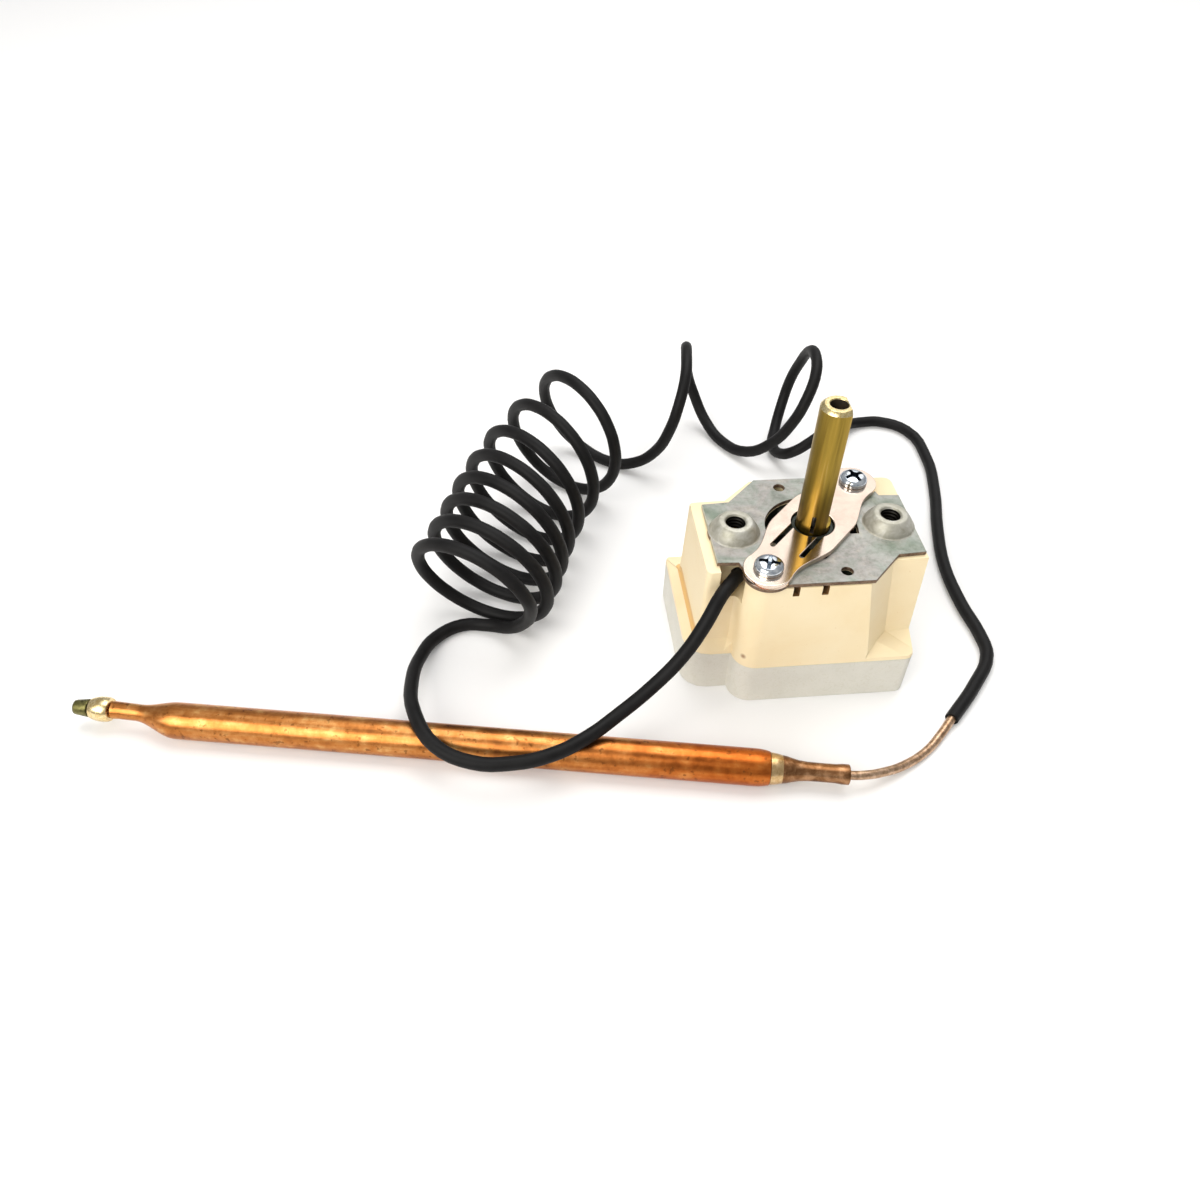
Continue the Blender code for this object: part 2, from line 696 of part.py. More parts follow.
def make_capsule(mat):
    top = carrier_low() - seat_gap
    low = top - capsule_height
    mid = (top + low) / 2
    profile = [(0.0, top), (capsule_radius * 0.80, top), (capsule_radius * 0.90, mid + 0.3 * mm), (capsule_radius, mid + 0.3 * mm),
               (capsule_radius, mid - 0.3 * mm), (capsule_radius * 0.90, mid - 0.3 * mm), (capsule_radius * 0.80, low), (0.0, low)]
    return keep(turned(profile, 40), "diaphragm_capsule", mat)


def blade_low():
    return base_height + seat_gap + foot_thickness + seat_gap


def make_pin(mat):
    top = carrier_low() - seat_gap - capsule_height - seat_gap
    low = blade_low() + blade_thickness + seat_gap
    profile = [(0.0, top), (pin_radius, top), (pin_radius, low + 0.6 * mm), (pin_radius * 0.55, low), (0.0, low)]
    return keep(turned(profile, 24), "push_pin", mat)


def make_blade(mat):
    low = blade_low()
    body = box(-blade_pivot_x - blade_tail, blade_reach, -blade_half_width, blade_half_width, low, low + blade_thickness)
    body.name = "snap_blade"
    cut(body, cylinder(rivet_radius + seat_gap, low - 1.0 * mm, low + 1.0 * mm, -blade_pivot_x, 0.0, 20))
    for side in (-1, 1):
        cut(body, box(-6.0 * mm, 6.0 * mm, side * 0.95 * mm - 0.25 * mm, side * 0.95 * mm + 0.25 * mm,
                      low - 1.0 * mm, low + 1.0 * mm))
    body = keep(body, "snap_blade", mat)
    pivot = Vector((shaft_x - blade_pivot_x, 0.0, low + blade_thickness / 2))
    body.data.transform(Matrix.Translation(body.location - pivot))
    body.location = pivot
    return body


def contact(name, low, mat):
    profile = [(0.0, low + contact_thickness), (contact_radius, low + contact_thickness), (contact_radius, low), (0.0, low)]
    return keep(turned(profile, 24, contact_x), name, mat)


def make_contacts(mat):
    moving_low = blade_low() + blade_thickness + seat_gap
    fixed_low = moving_low + contact_thickness + seat_gap
    contact("moving_contact", moving_low, mat)
    contact("fixed_contact", fixed_low, mat)
    return fixed_low + contact_thickness + seat_gap


def make_common_terminal(mat):
    foot = base_height + seat_gap
    x = -blade_pivot_x
    body = box(x - foot_half_length, x + foot_half_length, -tab_width / 2, tab_width / 2, foot, foot + foot_thickness)
    body.name = "terminal_common"
    tab = box(x - tab_thickness / 2, x + tab_thickness / 2, -tab_width / 2, tab_width / 2, tab_clear, foot + foot_thickness / 2)
    join(body, tab)
    cut(body, cylinder(rivet_radius + seat_gap, foot - 0.4 * mm, foot + 1.0 * mm, x, 0.0, 20))
    cut(body, cylinder(0.9 * mm, -1.0 * mm, 1.0 * mm, x, 0.0, 16))
    return keep(body, "terminal_common", mat)


def make_load_terminal(arm_low, mat):
    foot = base_height + seat_gap
    half = tab_thickness / 2
    body = box(post_x - half, post_x + half, -tab_width / 2, tab_width / 2, tab_clear, foot + 0.3 * mm)
    body.name = "terminal_load"
    post = box(post_x - half, post_x + half, -2.0 * mm, 2.0 * mm, foot, arm_low + foot_thickness)
    arm = box(contact_x - contact_radius - 0.1 * mm, post_x + half - 0.1 * mm, -1.9 * mm, 1.9 * mm,
              arm_low, arm_low + foot_thickness - 0.05 * mm)
    ledge = box(post_x - half + 0.1 * mm, post_x + 1.7 * mm, -tab_width / 2 + 0.2 * mm, tab_width / 2 - 0.2 * mm, foot,
                foot + foot_thickness)
    join(body, post, arm, ledge)
    return keep(body, "terminal_load", mat)


def make_rivet(mat):
    foot = base_height + seat_gap
    low = blade_low() + blade_thickness + seat_gap
    profile = [(0.0, low + rivet_head_height), (rivet_head_radius * 0.8, low + rivet_head_height),
               (rivet_head_radius, low + rivet_head_height * 0.5), (rivet_head_radius, low), (rivet_radius, low),
               (rivet_radius, foot), (0.0, foot)]
    return keep(turned(profile, 24, -blade_pivot_x), "blade_rivet", mat)


def coil_centre(u):
    # Middle line of the coil, seen from above, as one cubic with four control points
    p = [Vector(corner) for corner in (coil_near, coil_bow_near, coil_bow_far, coil_far)]
    return p[0] * (1 - u) ** 3 + p[1] * 3 * u * (1 - u) ** 2 + p[2] * 3 * u * u * (1 - u) + p[3] * u ** 3


def make_coil(mat):
    outer = coil_radius + 0.6 * mm
    points = []
    for i in range(19):
        u = coil_start + (coil_end - coil_start) * i / 18
        spot = coil_centre(u)
        points.append((spot.x, spot.y, outer + 0.1 * mm))
    body = keep(tube(points, outer, 6), "capillary_coil", mat)
    body.data.use_fill_caps = True
    return body


def lead_route():
    # Chosen points from the housing's exit, over the bulb twice, to the coil
    return [(-14.45, -7.35, 25.1), (-15.3, -8.3, 25.2), (-17.9, -11.3, 24.8), (-21.0, -14.7, 21.4), (-24.9, -17.2, 16.3),
            (-30.3, -19.8, 11.7), (-36.6, -23.0, 8.5), (-42.5, -27.1, 8.0), (-48.5, -29.8, 7.6), (-55.2, -30.7, 7.2),
            (-62.0, -29.9, 7.2), (-67.9, -26.6, 7.9), (-71.6, -19.4, 7.9), (-72.7, -9.3, 5.2), (-71.6, -0.8, 2.6),
            (-68.7, 5.4, 1.2), (-62.95, 8.6, 1.1)]


def far_route():
    # Chosen points from the coil, up through two stretched turns and round the body to the bulb
    return [(-28.8, 58.4, 1.2), (-23.8, 55.9, 2.8), (-19.3, 53.7, 7.5), (-16.7, 52.6, 13.7), (-14.7, 53.9, 19.9),
            (-12.9, 58.2, 24.4), (-11.8, 64.6, 25.9), (-10.7, 70.9, 24.1), (-9.4, 75.9, 19.6), (-8.6, 77.5, 13.5),
            (-6.4, 76.1, 7.3), (-4.0, 71.6, 2.8), (-0.9, 64.8, 1.1), (3.6, 58.3, 2.8), (8.1, 54.9, 7.4),
            (11.6, 53.3, 13.7), (14.4, 54.1, 19.9), (16.8, 58.1, 24.1), (17.9, 64.1, 25.2), (18.2, 69.0, 23.0),
            (18.0, 72.8, 18.1), (16.6, 74.1, 12.1), (14.7, 71.9, 6.5), (12.6, 67.3, 2.5), (10.4, 59.0, 1.1),
            (17.1, 61.0, 1.1), (25.1, 66.6, 1.1), (32.5, 69.8, 1.1), (40.2, 70.5, 1.1), (46.0, 66.3, 1.1),
            (47.5, 55.1, 1.1), (45.0, 42.6, 1.1), (40.9, 28.7, 1.1), (38.3, 17.0, 1.1), (37.8, 5.4, 1.1),
            (38.4, -3.0, 1.1), (37.8, -8.4, 1.1), (32.6, -15.6, 1.1), (25.3, -23.2, 1.1)]


def bare_route():
    # The last of the capillary, out of the sheath and into the neck of the bulb
    return [(25.05, -23.45, 1.1), (22.6, -25.9, 0.9), (18.5, -29.5, 0.75), (13.2, -32.6, 1.3), (8.6, -34.4, 2.3),
            (5.2, -35.2, 3.05), (2.6, -35.2, 3.27)]


def tail_route():
    # Inside the housing, from the capsule to the hole behind the exit
    rise = carrier_low() - seat_gap - capsule_height / 2
    x = capsule_radius + 0.4 * mm
    hole = housing_top - exit_hole_drop
    return [(-x / mm, -0.6, rise / mm), (-10.4, -1.4, rise / mm + 0.6), (-13.0, -2.6, rise / mm + 3.2),
            (-14.1, -3.6, hole / mm - 2.8), (-exit_hole_x / mm, -4.4, hole / mm - 0.3),
            (-exit_hole_x / mm, -5.5, hole / mm), (-exit_hole_x / mm, -6.45, hole / mm)]


def metres(route):
    return [tuple(value * mm for value in point) for point in route]


def make_capillary(sheath, copper):
    keep(tube(smooth_route(metres(lead_route()), 6.2 * mm), sheath_radius), "capillary_lead", sheath)
    keep(tube(smooth_route(metres(far_route()), 6.2 * mm), sheath_radius), "capillary_run", sheath)
    keep(tube(smooth_route(metres(bare_route()), 4.0 * mm), capillary_radius), "capillary_bare_end", copper)
    keep(tube(smooth_route(metres(tail_route()), 2.2 * mm), capillary_radius), "capillary_tail", copper)
    make_coil(sheath)


def lay_on_axis(obj):
    # Turned pieces of the bulb lie on one axis, which starts at the neck's end
    obj.location = (shaft_x + bulb_end.x, bulb_end.y, bulb_radius + 0.02 * mm)
    obj.rotation_euler = (0.0, math.radians(90.0), bulb_turn)
    return obj


def bulb_piece(name, profile, mat, sides=32):
    ordered = list(reversed(profile))
    obj = turned([(r, s) for s, r in ordered], sides)
    return keep(lay_on_axis(obj), name, mat)


def make_bulb(copper, braze, brass):
    ring_start = bulb_body_start - seat_gap - ring_width
    neck_end = ring_start - seat_gap
    bulb_piece("bulb_neck", [(0.0, 0.0), (0.0, neck_radius), (1.2 * mm, neck_radius), (2.2 * mm, neck_radius - 0.12 * mm),
                             (neck_end - 4.5 * mm, neck_radius - 0.1 * mm), (neck_end - 2.0 * mm, neck_radius + 0.35 * mm),
                             (neck_end, ring_radius - 0.35 * mm), (neck_end, 0.0)], braze)
    bulb_piece("bulb_ring", [(ring_start, 0.0), (ring_start, ring_radius - 0.15 * mm), (ring_start + ring_width / 2, ring_radius),
                             (ring_start + ring_width, ring_radius - 0.05 * mm), (ring_start + ring_width, 0.0)], braze)
    taper_start = bulb_body_end - bulb_waist - bulb_taper
    profile = [(bulb_body_start, 0.0), (bulb_body_start, ring_radius + 0.05 * mm), (bulb_body_start + bulb_shoulder * 0.5, bulb_radius - 0.08 * mm),
               (bulb_body_start + bulb_shoulder, bulb_radius), (taper_start, bulb_radius)]
    for i in range(1, 8):
        share = i / 7
        ease = share * share * (3 - 2 * share)
        profile.append((taper_start + bulb_taper * share, bulb_radius + (bulb_waist_radius - bulb_radius) * ease))
    profile += [(bulb_body_end, bulb_waist_radius + 0.1 * mm), (bulb_body_end, 0.0)]
    bulb_piece("bulb", profile, copper)
    start = bulb_body_end + seat_gap
    end = start + braze_width
    bulb_piece("bulb_braze", [(start, 0.0), (start, bulb_waist_radius + 0.2 * mm), (start + 0.8 * mm, braze_radius - 0.1 * mm),
                              (start + braze_width / 2, braze_radius), (end - 0.6 * mm, braze_radius - 0.2 * mm),
                              (end, tail_radius), (end, 0.0)], brass, 24)
    start = end + seat_gap
    end = start + tail_length
    bulb_piece("bulb_tail", [(start, 0.0), (start, tail_radius), (start + tail_length * 0.6, tail_radius - 0.15 * mm),
                             (end - 0.6 * mm, tail_radius - 0.35 * mm), (end, tail_radius - 0.8 * mm), (end, 0.0)], brass, 24)


def main():
    clear_scene()
    cream = material("cream_thermoset", (0.91, 0.80, 0.55), 0.45, 0.0)
    grey = material("light_grey_moulding", (0.70, 0.68, 0.60), 0.5, 0.0)
    zinc = material("galvanised_steel", (0.50, 0.50, 0.49), 0.42, 0.9)
    nickel = material("nickel_plated_steel", (0.80, 0.76, 0.70), 0.18, 1.0)
    screw = material("zinc_plated_screw", (0.62, 0.64, 0.66), 0.25, 1.0)
    brass = material("brass", (0.48, 0.33, 0.08), 0.3, 1.0)
    dark = material("phosphated_steel", (0.06, 0.06, 0.06), 0.5, 0.8)
    ceramic = material("white_ceramic", (0.85, 0.84, 0.80), 0.4, 0.0)
    bronze = material("spring_bronze", (0.55, 0.36, 0.16), 0.35, 1.0)
    silver = material("silver_contact", (0.80, 0.80, 0.78), 0.3, 1.0)
    sheath = material("black_sheath", (0.02, 0.02, 0.02), 0.5, 0.0)
    copper = material("drawn_copper", (0.60, 0.25, 0.08), 0.3, 1.0)
    braze = material("brazed_copper", (0.45, 0.28, 0.14), 0.4, 1.0)
    filler = material("brass_filler", (0.72, 0.52, 0.22), 0.25, 1.0)
    make_base(grey)
    make_housing(cream)
    make_plate(zinc)
    make_strap(nickel)
    make_screw("strap_screw_front", -1, screw)
    make_screw("strap_screw_back", 1, screw)
    make_shaft(brass)
    make_hub(dark)
    make_spindle(brass)
    make_core_screw(screw)
    make_carrier(brass)
    make_capsule(nickel)
    make_pin(ceramic)
    make_blade(bronze)
    arm_low = make_contacts(silver)
    make_common_terminal(brass)
    make_load_terminal(arm_low, brass)
    make_rivet(brass)
    make_capillary(sheath, copper)
    make_bulb(copper, braze, filler)
    for obj in part.objects:
        if obj.type == 'MESH':
            smooth_shade(obj)
    bpy.context.view_layer.update()


main()
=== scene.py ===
# Capillary thermostat: moulded switch body, brass shaft, sleeved capillary and copper bulb.
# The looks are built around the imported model, in metres and in its frame.
import math
import bpy
import bmesh
from mathutils import Matrix, Vector


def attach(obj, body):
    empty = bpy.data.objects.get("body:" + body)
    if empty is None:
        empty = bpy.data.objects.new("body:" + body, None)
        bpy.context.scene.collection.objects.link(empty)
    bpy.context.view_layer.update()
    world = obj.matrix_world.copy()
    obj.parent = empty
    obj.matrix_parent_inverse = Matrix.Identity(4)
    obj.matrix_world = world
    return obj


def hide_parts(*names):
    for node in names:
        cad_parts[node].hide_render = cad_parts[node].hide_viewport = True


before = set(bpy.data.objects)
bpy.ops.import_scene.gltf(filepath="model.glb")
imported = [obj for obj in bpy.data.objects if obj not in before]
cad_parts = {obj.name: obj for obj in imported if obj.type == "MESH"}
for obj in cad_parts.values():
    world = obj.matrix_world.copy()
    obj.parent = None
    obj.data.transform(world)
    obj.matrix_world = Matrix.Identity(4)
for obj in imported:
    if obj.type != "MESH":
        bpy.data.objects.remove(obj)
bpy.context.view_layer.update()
mm = 0.001
shaftX = 1.75 * mm
print("frame loaded")

# Heights and places that several pieces share, the same as the solids have
body = {
    "plateLow": 28.4 * mm,
    "plateTop": 29.2 * mm,
    "strapTop": 30.3 * mm,
    "screwReach": 15.2 * mm,
    "strapTurn": math.radians(46.6),
    "bossX": 14.0 * mm,
    "bulbEnd": (2.2 * mm, -35.05 * mm),
    "bulbHeight": 3.27 * mm,
    "bulbTurn": math.radians(169.6),
}
screwX = body["screwReach"] * math.cos(body["strapTurn"])
screwY = body["screwReach"] * math.sin(body["strapTurn"])
bothSides = (-1, 1)


# Small helpers

def newPiece(name, data):
    piece = bpy.data.objects.new(name, data)
    bpy.context.scene.collection.objects.link(piece)
    return piece


def deselectAll():
    if bpy.context.object and bpy.context.object.mode != 'OBJECT':
        bpy.ops.object.mode_set(mode='OBJECT')
    bpy.ops.object.select_all(action='DESELECT')


def onlySelect(piece):
    deselectAll()
    piece.select_set(True)
    bpy.context.view_layer.objects.active = piece


def linear(shade):
    # sRGB hex to linear
    shade = shade.lstrip("#")
    values = [int(shade[i:i + 2], 16) / 255 for i in (0, 2, 4)]
    return [v / 12.92 if v <= 0.04045 else ((v + 0.055) / 1.055) ** 2.4 for v in values] + [1.0]


def setInputs(tree, node, inputs):
    # Each input gets a link or a plain value
    for key, value in inputs.items():
        if isinstance(value, bpy.types.NodeSocket):
            tree.links.new(value, node.inputs[key])
        else:
            node.inputs[key].default_value = value


def addNode(tree, kind, settings=None, inputs=None):
    node = tree.nodes.new(kind)
    for key, value in (settings or {}).items():
        setattr(node, key, value)
    setInputs(tree, node, inputs or {})
    return node


def noiseNode(tree, where, size, detail=2.0, roughness=0.5, distortion=0.0):
    # Noise whose grains are about so many millimetres wide
    return addNode(tree, "ShaderNodeTexNoise", inputs={
        "Vector": where, "Scale": 1 / (size * mm), "Detail": detail, "Roughness": roughness,
        "Distortion": distortion}).outputs["Fac"]


def rampNode(tree, value, stops):
    node = addNode(tree, "ShaderNodeValToRGB", inputs={"Fac": value})
    ramp = node.color_ramp
    while len(ramp.elements) < len(stops):
        ramp.elements.new(0.5)
    for element, (place, shade) in zip(ramp.elements, stops):
        element.position = place
        element.color = linear(shade)
    return node.outputs["Color"]


def mixNode(tree, share, first, second, blend='MIX'):
    settings = {"data_type": 'RGBA', "blend_type": blend}
    return addNode(tree, "ShaderNodeMix", settings, {0: share, 6: first, 7: second}).outputs[2]


def rangeNode(tree, value, low, high, start=0.0, end=1.0, kind='LINEAR'):
    return addNode(tree, "ShaderNodeMapRange", {"interpolation_type": kind}, {
        "Value": value, "From Min": start, "From Max": end, "To Min": low, "To Max": high}).outputs["Result"]


def mathNode(tree, operation, *values):
    return addNode(tree, "ShaderNodeMath", {"operation": operation}, dict(enumerate(values))).outputs[0]


def bumpNode(tree, height, strength, depth):
    return addNode(tree, "ShaderNodeBump", inputs={
        "Strength": strength, "Distance": depth * mm, "Height": height}).outputs["Normal"]


def distanceNode(tree, where, spot):
    node = addNode(tree, "ShaderNodeVectorMath", {"operation": 'DISTANCE'}, {0: where, 1: spot})
    return node.outputs["Value"]


def newMaterial(name, metallic=0.0, ior=1.5):
    finish = bpy.data.materials.new(name)
    finish.use_nodes = True
    tree = finish.node_tree
    shader = tree.nodes["Principled BSDF"]
    setInputs(tree, shader, {"Metallic": metallic, "IOR": ior})
    where = addNode(tree, "ShaderNodeTexCoord").outputs["Object"]
    return finish, tree, shader, where


def putMaterials(piece, finishList):
    piece.data.materials.clear()
    for finish in finishList:
        piece.data.materials.append(finish)


def applyModifiers(piece):
    onlySelect(piece)
    for modifier in list(piece.modifiers):
        bpy.ops.object.modifier_apply(modifier=modifier.name)


def editAll(piece):
    onlySelect(piece)
    bpy.ops.object.mode_set(mode='EDIT')
    bpy.ops.mesh.select_all(action='SELECT')


def cleanMesh(piece):
    seamGap = 0.002 * mm
    editAll(piece)
    bpy.ops.mesh.remove_doubles(threshold=seamGap)
    bpy.ops.mesh.normals_make_consistent(inside=False)
    bpy.ops.object.mode_set(mode='OBJECT')


def smoothShade(piece, angle):
    onlySelect(piece)
    bpy.ops.object.shade_smooth_by_angle(angle=math.radians(angle))


def finishPiece(piece, name, rides, finishList, replaced, angle=30.0):
    # The place goes into the mesh, the seams are merged and the piece is named and hung on its body
    onlySelect(piece)
    bpy.ops.object.transform_apply(location=True, rotation=True, scale=True)
    if piece.type == 'MESH':
        cleanMesh(piece)
        smoothShade(piece, angle)
    piece.name = name
    piece.data.name = name
    putMaterials(piece, finishList)
    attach(piece, rides)
    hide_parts(*replaced)
    return piece


def turnedPiece(profile, sides, x=0.0, y=0.0, ring=False):
    # As on a lathe: a disc or an open ring, drawn up and sized step by step along its profile
    deselectAll()
    radius, height = profile[0]
    fill = 'NOTHING' if ring else 'NGON'
    bpy.ops.mesh.primitive_circle_add(vertices=sides, radius=radius, location=(shaftX + x, y, height),
                                      fill_type=fill)
    piece = bpy.context.object
    editAll(piece)
    for nextRadius, nextHeight in profile[1:]:
        bpy.ops.mesh.extrude_region_move(TRANSFORM_OT_translate={"value": (0.0, 0.0, nextHeight - height)})
        if nextRadius <= 0.0:
            bpy.ops.mesh.merge(type='CENTER')
            break
        share = nextRadius / radius
        bpy.ops.transform.resize(value=(share, share, 1.0), center_override=(shaftX + x, y, nextHeight))
        radius, height = nextRadius, nextHeight
    bpy.ops.object.mode_set(mode='OBJECT')
    return piece


def flatPiece(outline, holes, low, high, edge, turn=0.0):
    # Sheet cut to an outline with its holes, with rounded edges
    data = bpy.data.curves.new("sheet", 'CURVE')
    data.dimensions = '2D'
    data.fill_mode = 'BOTH'
    data.extrude = (high - low) / 2 - edge
    data.bevel_depth = edge
    data.bevel_resolution = 2
    data.offset = -edge
    for line in [outline] + holes:
        spline = data.splines.new('POLY')
        spline.points.add(len(line) - 1)
        for spot, (x, y) in zip(spline.points, line):
            spot.co = (x, y, 0.0, 1.0)
        spline.use_cyclic_u = True
    piece = newPiece("sheet", data)
    piece.location = (shaftX, 0.0, (low + high) / 2)
    piece.rotation_euler = (0.0, 0.0, turn)
    onlySelect(piece)
    bpy.ops.object.convert(target='MESH')
    return bpy.context.object


def keepFlat(piece):
    # The level faces keep level normals, so they mirror without bending
    level = {}
    for face in piece.data.polygons:
        for key in face.edge_keys:
            level.setdefault(key, []).append(abs(face.normal.z) > 0.9999)
    for edge in piece.data.edges:
        if len(set(level.get(tuple(sorted(edge.vertices)), []))) == 2:
            edge.use_edge_sharp = True


def arcPoints(cx, cy, radius, start, end, steps):
    points = []
    for i in range(steps + 1):
        a = math.radians(start + (end - start) * i / steps)
        points.append((cx + radius * math.cos(a), cy + radius * math.sin(a)))
    return points


def cutWith(piece, cutter, operation='DIFFERENCE'):
    modifier = piece.modifiers.new("cut", 'BOOLEAN')
    modifier.operation = operation
    modifier.solver = 'EXACT'
    modifier.object = cutter
    applyModifiers(piece)
    bpy.data.objects.remove(cutter, do_unlink=True)


def cutterBox(size, spot, turn=0.0, taper=1.0):
    # A box whose lower end is narrower where taper is below 1
    deselectAll()
    bpy.ops.mesh.primitive_cube_add(size=1.0, location=spot, rotation=(0.0, 0.0, turn))
    box = bpy.context.object
    box.scale = size
    bpy.ops.object.transform_apply(location=False, rotation=False, scale=True)
    if taper != 1.0:
        bpy.ops.object.mode_set(mode='EDIT')
        shape = bmesh.from_edit_mesh(box.data)
        for face in shape.faces:
            face.select_set(face.normal.z < -0.9)
        shape.select_flush_mode()
        bmesh.update_edit_mesh(box.data)
        bpy.ops.transform.resize(value=(taper, taper, 1.0), center_override=spot)
        bpy.ops.object.mode_set(mode='OBJECT')
    return box


def bevelEdges(piece, width, angle):
    bevel = piece.modifiers.new("edge", 'BEVEL')
    bevel.width = width
    bevel.segments = 2
    bevel.limit_method = 'ANGLE'
    bevel.angle_limit = math.radians(angle)
    applyModifiers(piece)


def reachOf(face, x=0.0, y=0.0):
    # How far a face lies from an upright line, which is given from the shaft's
    return math.hypot(face.center.x - shaftX - x, face.center.y - y)


def paintFaces(piece, index, test):
    # Gives the faces that pass the test another of the piece's materials
    for face in piece.data.polygons:
        if test(face):
            face.material_index = index


# Camera

def makeCamera():
    # At the photograph's place: 45 degrees down, from the front and a little left
    view = {"spot": (-51.083 * mm, -128.212 * mm, 142.427 * mm), "pitch": 44.879, "yaw": 6.802, "roll": 1.667,
            "lens": 29.43}
    pitch, yaw, roll = (math.radians(view[key]) for key in ("pitch", "yaw", "roll"))
    ahead = Vector((math.sin(yaw) * math.cos(pitch), math.cos(yaw) * math.cos(pitch), -math.sin(pitch)))
    level = Vector((math.cos(yaw), -math.sin(yaw), 0.0))
    upright = level.cross(ahead)
    right = math.cos(roll) * level + math.sin(roll) * upright
    up = -math.sin(roll) * level + math.cos(roll) * upright
    deselectAll()
    bpy.ops.object.camera_add()
    camera = bpy.context.object
    camera.name = "photoCamera"
    camera.data.lens = view["lens"]
    camera.data.sensor_width = 36.0
    camera.data.clip_start = 0.005
    turn = Matrix((right, up, -ahead)).transposed()
    camera.matrix_world = Matrix.Translation(view["spot"]) @ turn.to_4x4()
    bpy.context.scene.camera = camera


makeCamera()
print("camera placed")


# The sleeved capillary: lead, coil, two stretched turns and the run to the bulb

sleeve = {
    "radius": 1.28 * mm,
    "coilRadius": 12.8,
    "coilLow": 1.3,
    "turns": (0.06, 7.66),
    "stepsPerTurn": 16,
    # the coil's middle line on the floor, as a cubic that would take eight turns
    "middleLine": [(-61.4, 3.1), (-51.4, 19.5), (-56.7, 29.6), (-30.4, 63.5)],
    "middleTurns": 8,
    "swing": (62.3, 20.9),
    "lean": (14.5, 8.3),
    "leadRoute": [
        (-13.6, -6.4, 25.1), (-15.5, -8.6, 25.25), (-17.9, -11.3, 24.7), (-21.0, -14.7, 21.4),
        (-24.9, -17.2, 16.3), (-30.3, -19.8, 11.7), (-36.6, -23.0, 8.5), (-42.5, -27.1, 8.0),
        (-48.5, -29.8, 7.6), (-55.2, -30.7, 7.2), (-62.0, -29.9, 7.2), (-67.9, -26.6, 7.9),
        (-71.6, -19.4, 7.9), (-72.7, -9.3, 5.2), (-71.6, -1.2, 2.7), (-68.9, 4.6, 1.45), (-64.0, 7.6, 1.3),
        (-58.6, 7.0, 1.45), (-54.6, 4.5, 3.1), (-52.0, 2.1, 6.6), (-50.6, -0.5, 11.4)],
    "farRoute": [
        (-28.8, 58.4, 1.3), (-23.8, 55.9, 2.8), (-19.3, 53.7, 7.5), (-16.7, 52.6, 13.7),
        (-14.7, 53.9, 19.9), (-12.9, 58.2, 24.4), (-11.8, 64.6, 25.9), (-10.7, 70.9, 24.1),
        (-9.4, 75.7, 19.6), (-8.6, 77.1, 13.5), (-6.4, 75.8, 7.3), (-4.0, 71.6, 2.8), (-0.9, 64.8, 1.28),
        (3.6, 58.3, 2.8), (8.1, 54.9, 7.4), (11.6, 53.3, 13.7), (14.4, 54.1, 19.9), (16.8, 58.1, 24.1),
        (17.9, 64.1, 25.2), (18.2, 69.0, 23.0), (18.0, 72.8, 18.1), (16.7, 74.4, 12.0), (15.0, 72.7, 6.1),
        (12.8, 68.0, 2.2), (11.0, 62.4, 1.4), (11.6, 56.8, 2.9), (13.9, 54.0, 5.6), (17.2, 54.2, 7.8),
        (21.8, 57.6, 8.4), (26.6, 63.0, 5.4), (32.3, 69.2, 1.9), (36.3, 70.6, 1.3), (40.2, 70.5, 1.28),
        (46.0, 66.3, 1.28), (47.3, 55.1, 1.28), (45.0, 42.6, 1.28), (40.9, 28.7, 1.28), (38.3, 17.0, 1.28),
        (37.8, 5.4, 1.28), (38.4, -3.0, 1.28), (37.8, -8.4, 1.28), (32.6, -15.6, 1.28), (25.3, -23.2, 1.28)],
    "bareRadius": 0.8 * mm,
    "bareRoute": [
        (25.6, -22.9, 1.28), (25.05, -23.45, 1.28), (22.6, -25.9, 0.9), (18.5, -29.5, 0.75),
        (13.2, -32.6, 1.3), (8.6, -34.4, 2.3), (5.2, -35.2, 3.05), (2.6, -35.2, 3.27), (-2.0, -34.1, 3.27)],
}


def coilPoints():
    # The turns lean and swing a little on their way back along the middle line
    corners = [Vector(corner) for corner in sleeve["middleLine"]]
    first, last = sleeve["turns"]
    radius = sleeve["coilRadius"]
    count = int(round((last - first) * sleeve["stepsPerTurn"]))
    points = []
    for i in range(count + 1):
        t = first + (last - first) * i / count
        u = t / sleeve["middleTurns"]
        middle = (corners[0] * (1 - u) ** 3 + corners[1] * 3 * u * (1 - u) ** 2
                  + corners[2] * 3 * u * u * (1 - u) + corners[3] * u ** 3)
        swing = math.radians(sleeve["swing"][0] - sleeve["swing"][1] * u)
        lean = math.radians(sleeve["lean"][0] - sleeve["lean"][1] * u)
        across = Vector((math.sin(swing), -math.cos(swing), 0.0))
        rise = Vector((-math.cos(swing) * math.sin(lean), -math.sin(swing) * math.sin(lean), math.cos(lean)))
        centre = Vector((middle.x, middle.y, sleeve["coilLow"] + radius * math.cos(lean)))
        angle = 2 * math.pi * t
        points.append(tuple(centre + radius * (math.cos(angle) * across + math.sin(angle) * rise)))
    return points


def wirePiece(points, radius, fine):
    # Round wire along smooth handles, its ends closed
    data = bpy.data.curves.new("wire", 'CURVE')
    data.dimensions = '3D'
    data.bevel_depth = radius
    data.bevel_resolution = 4
    data.resolution_u = fine
    data.use_fill_caps = True
    spline = data.splines.new('BEZIER')
    spline.bezier_points.add(len(points) - 1)
    for spot, (x, y, z) in zip(spline.bezier_points, points):
        spot.co = (shaftX + x * mm, y * mm, z * mm)
        spot.handle_left_type = 'AUTO'
        spot.handle_right_type = 'AUTO'
    return newPiece("wire", data)


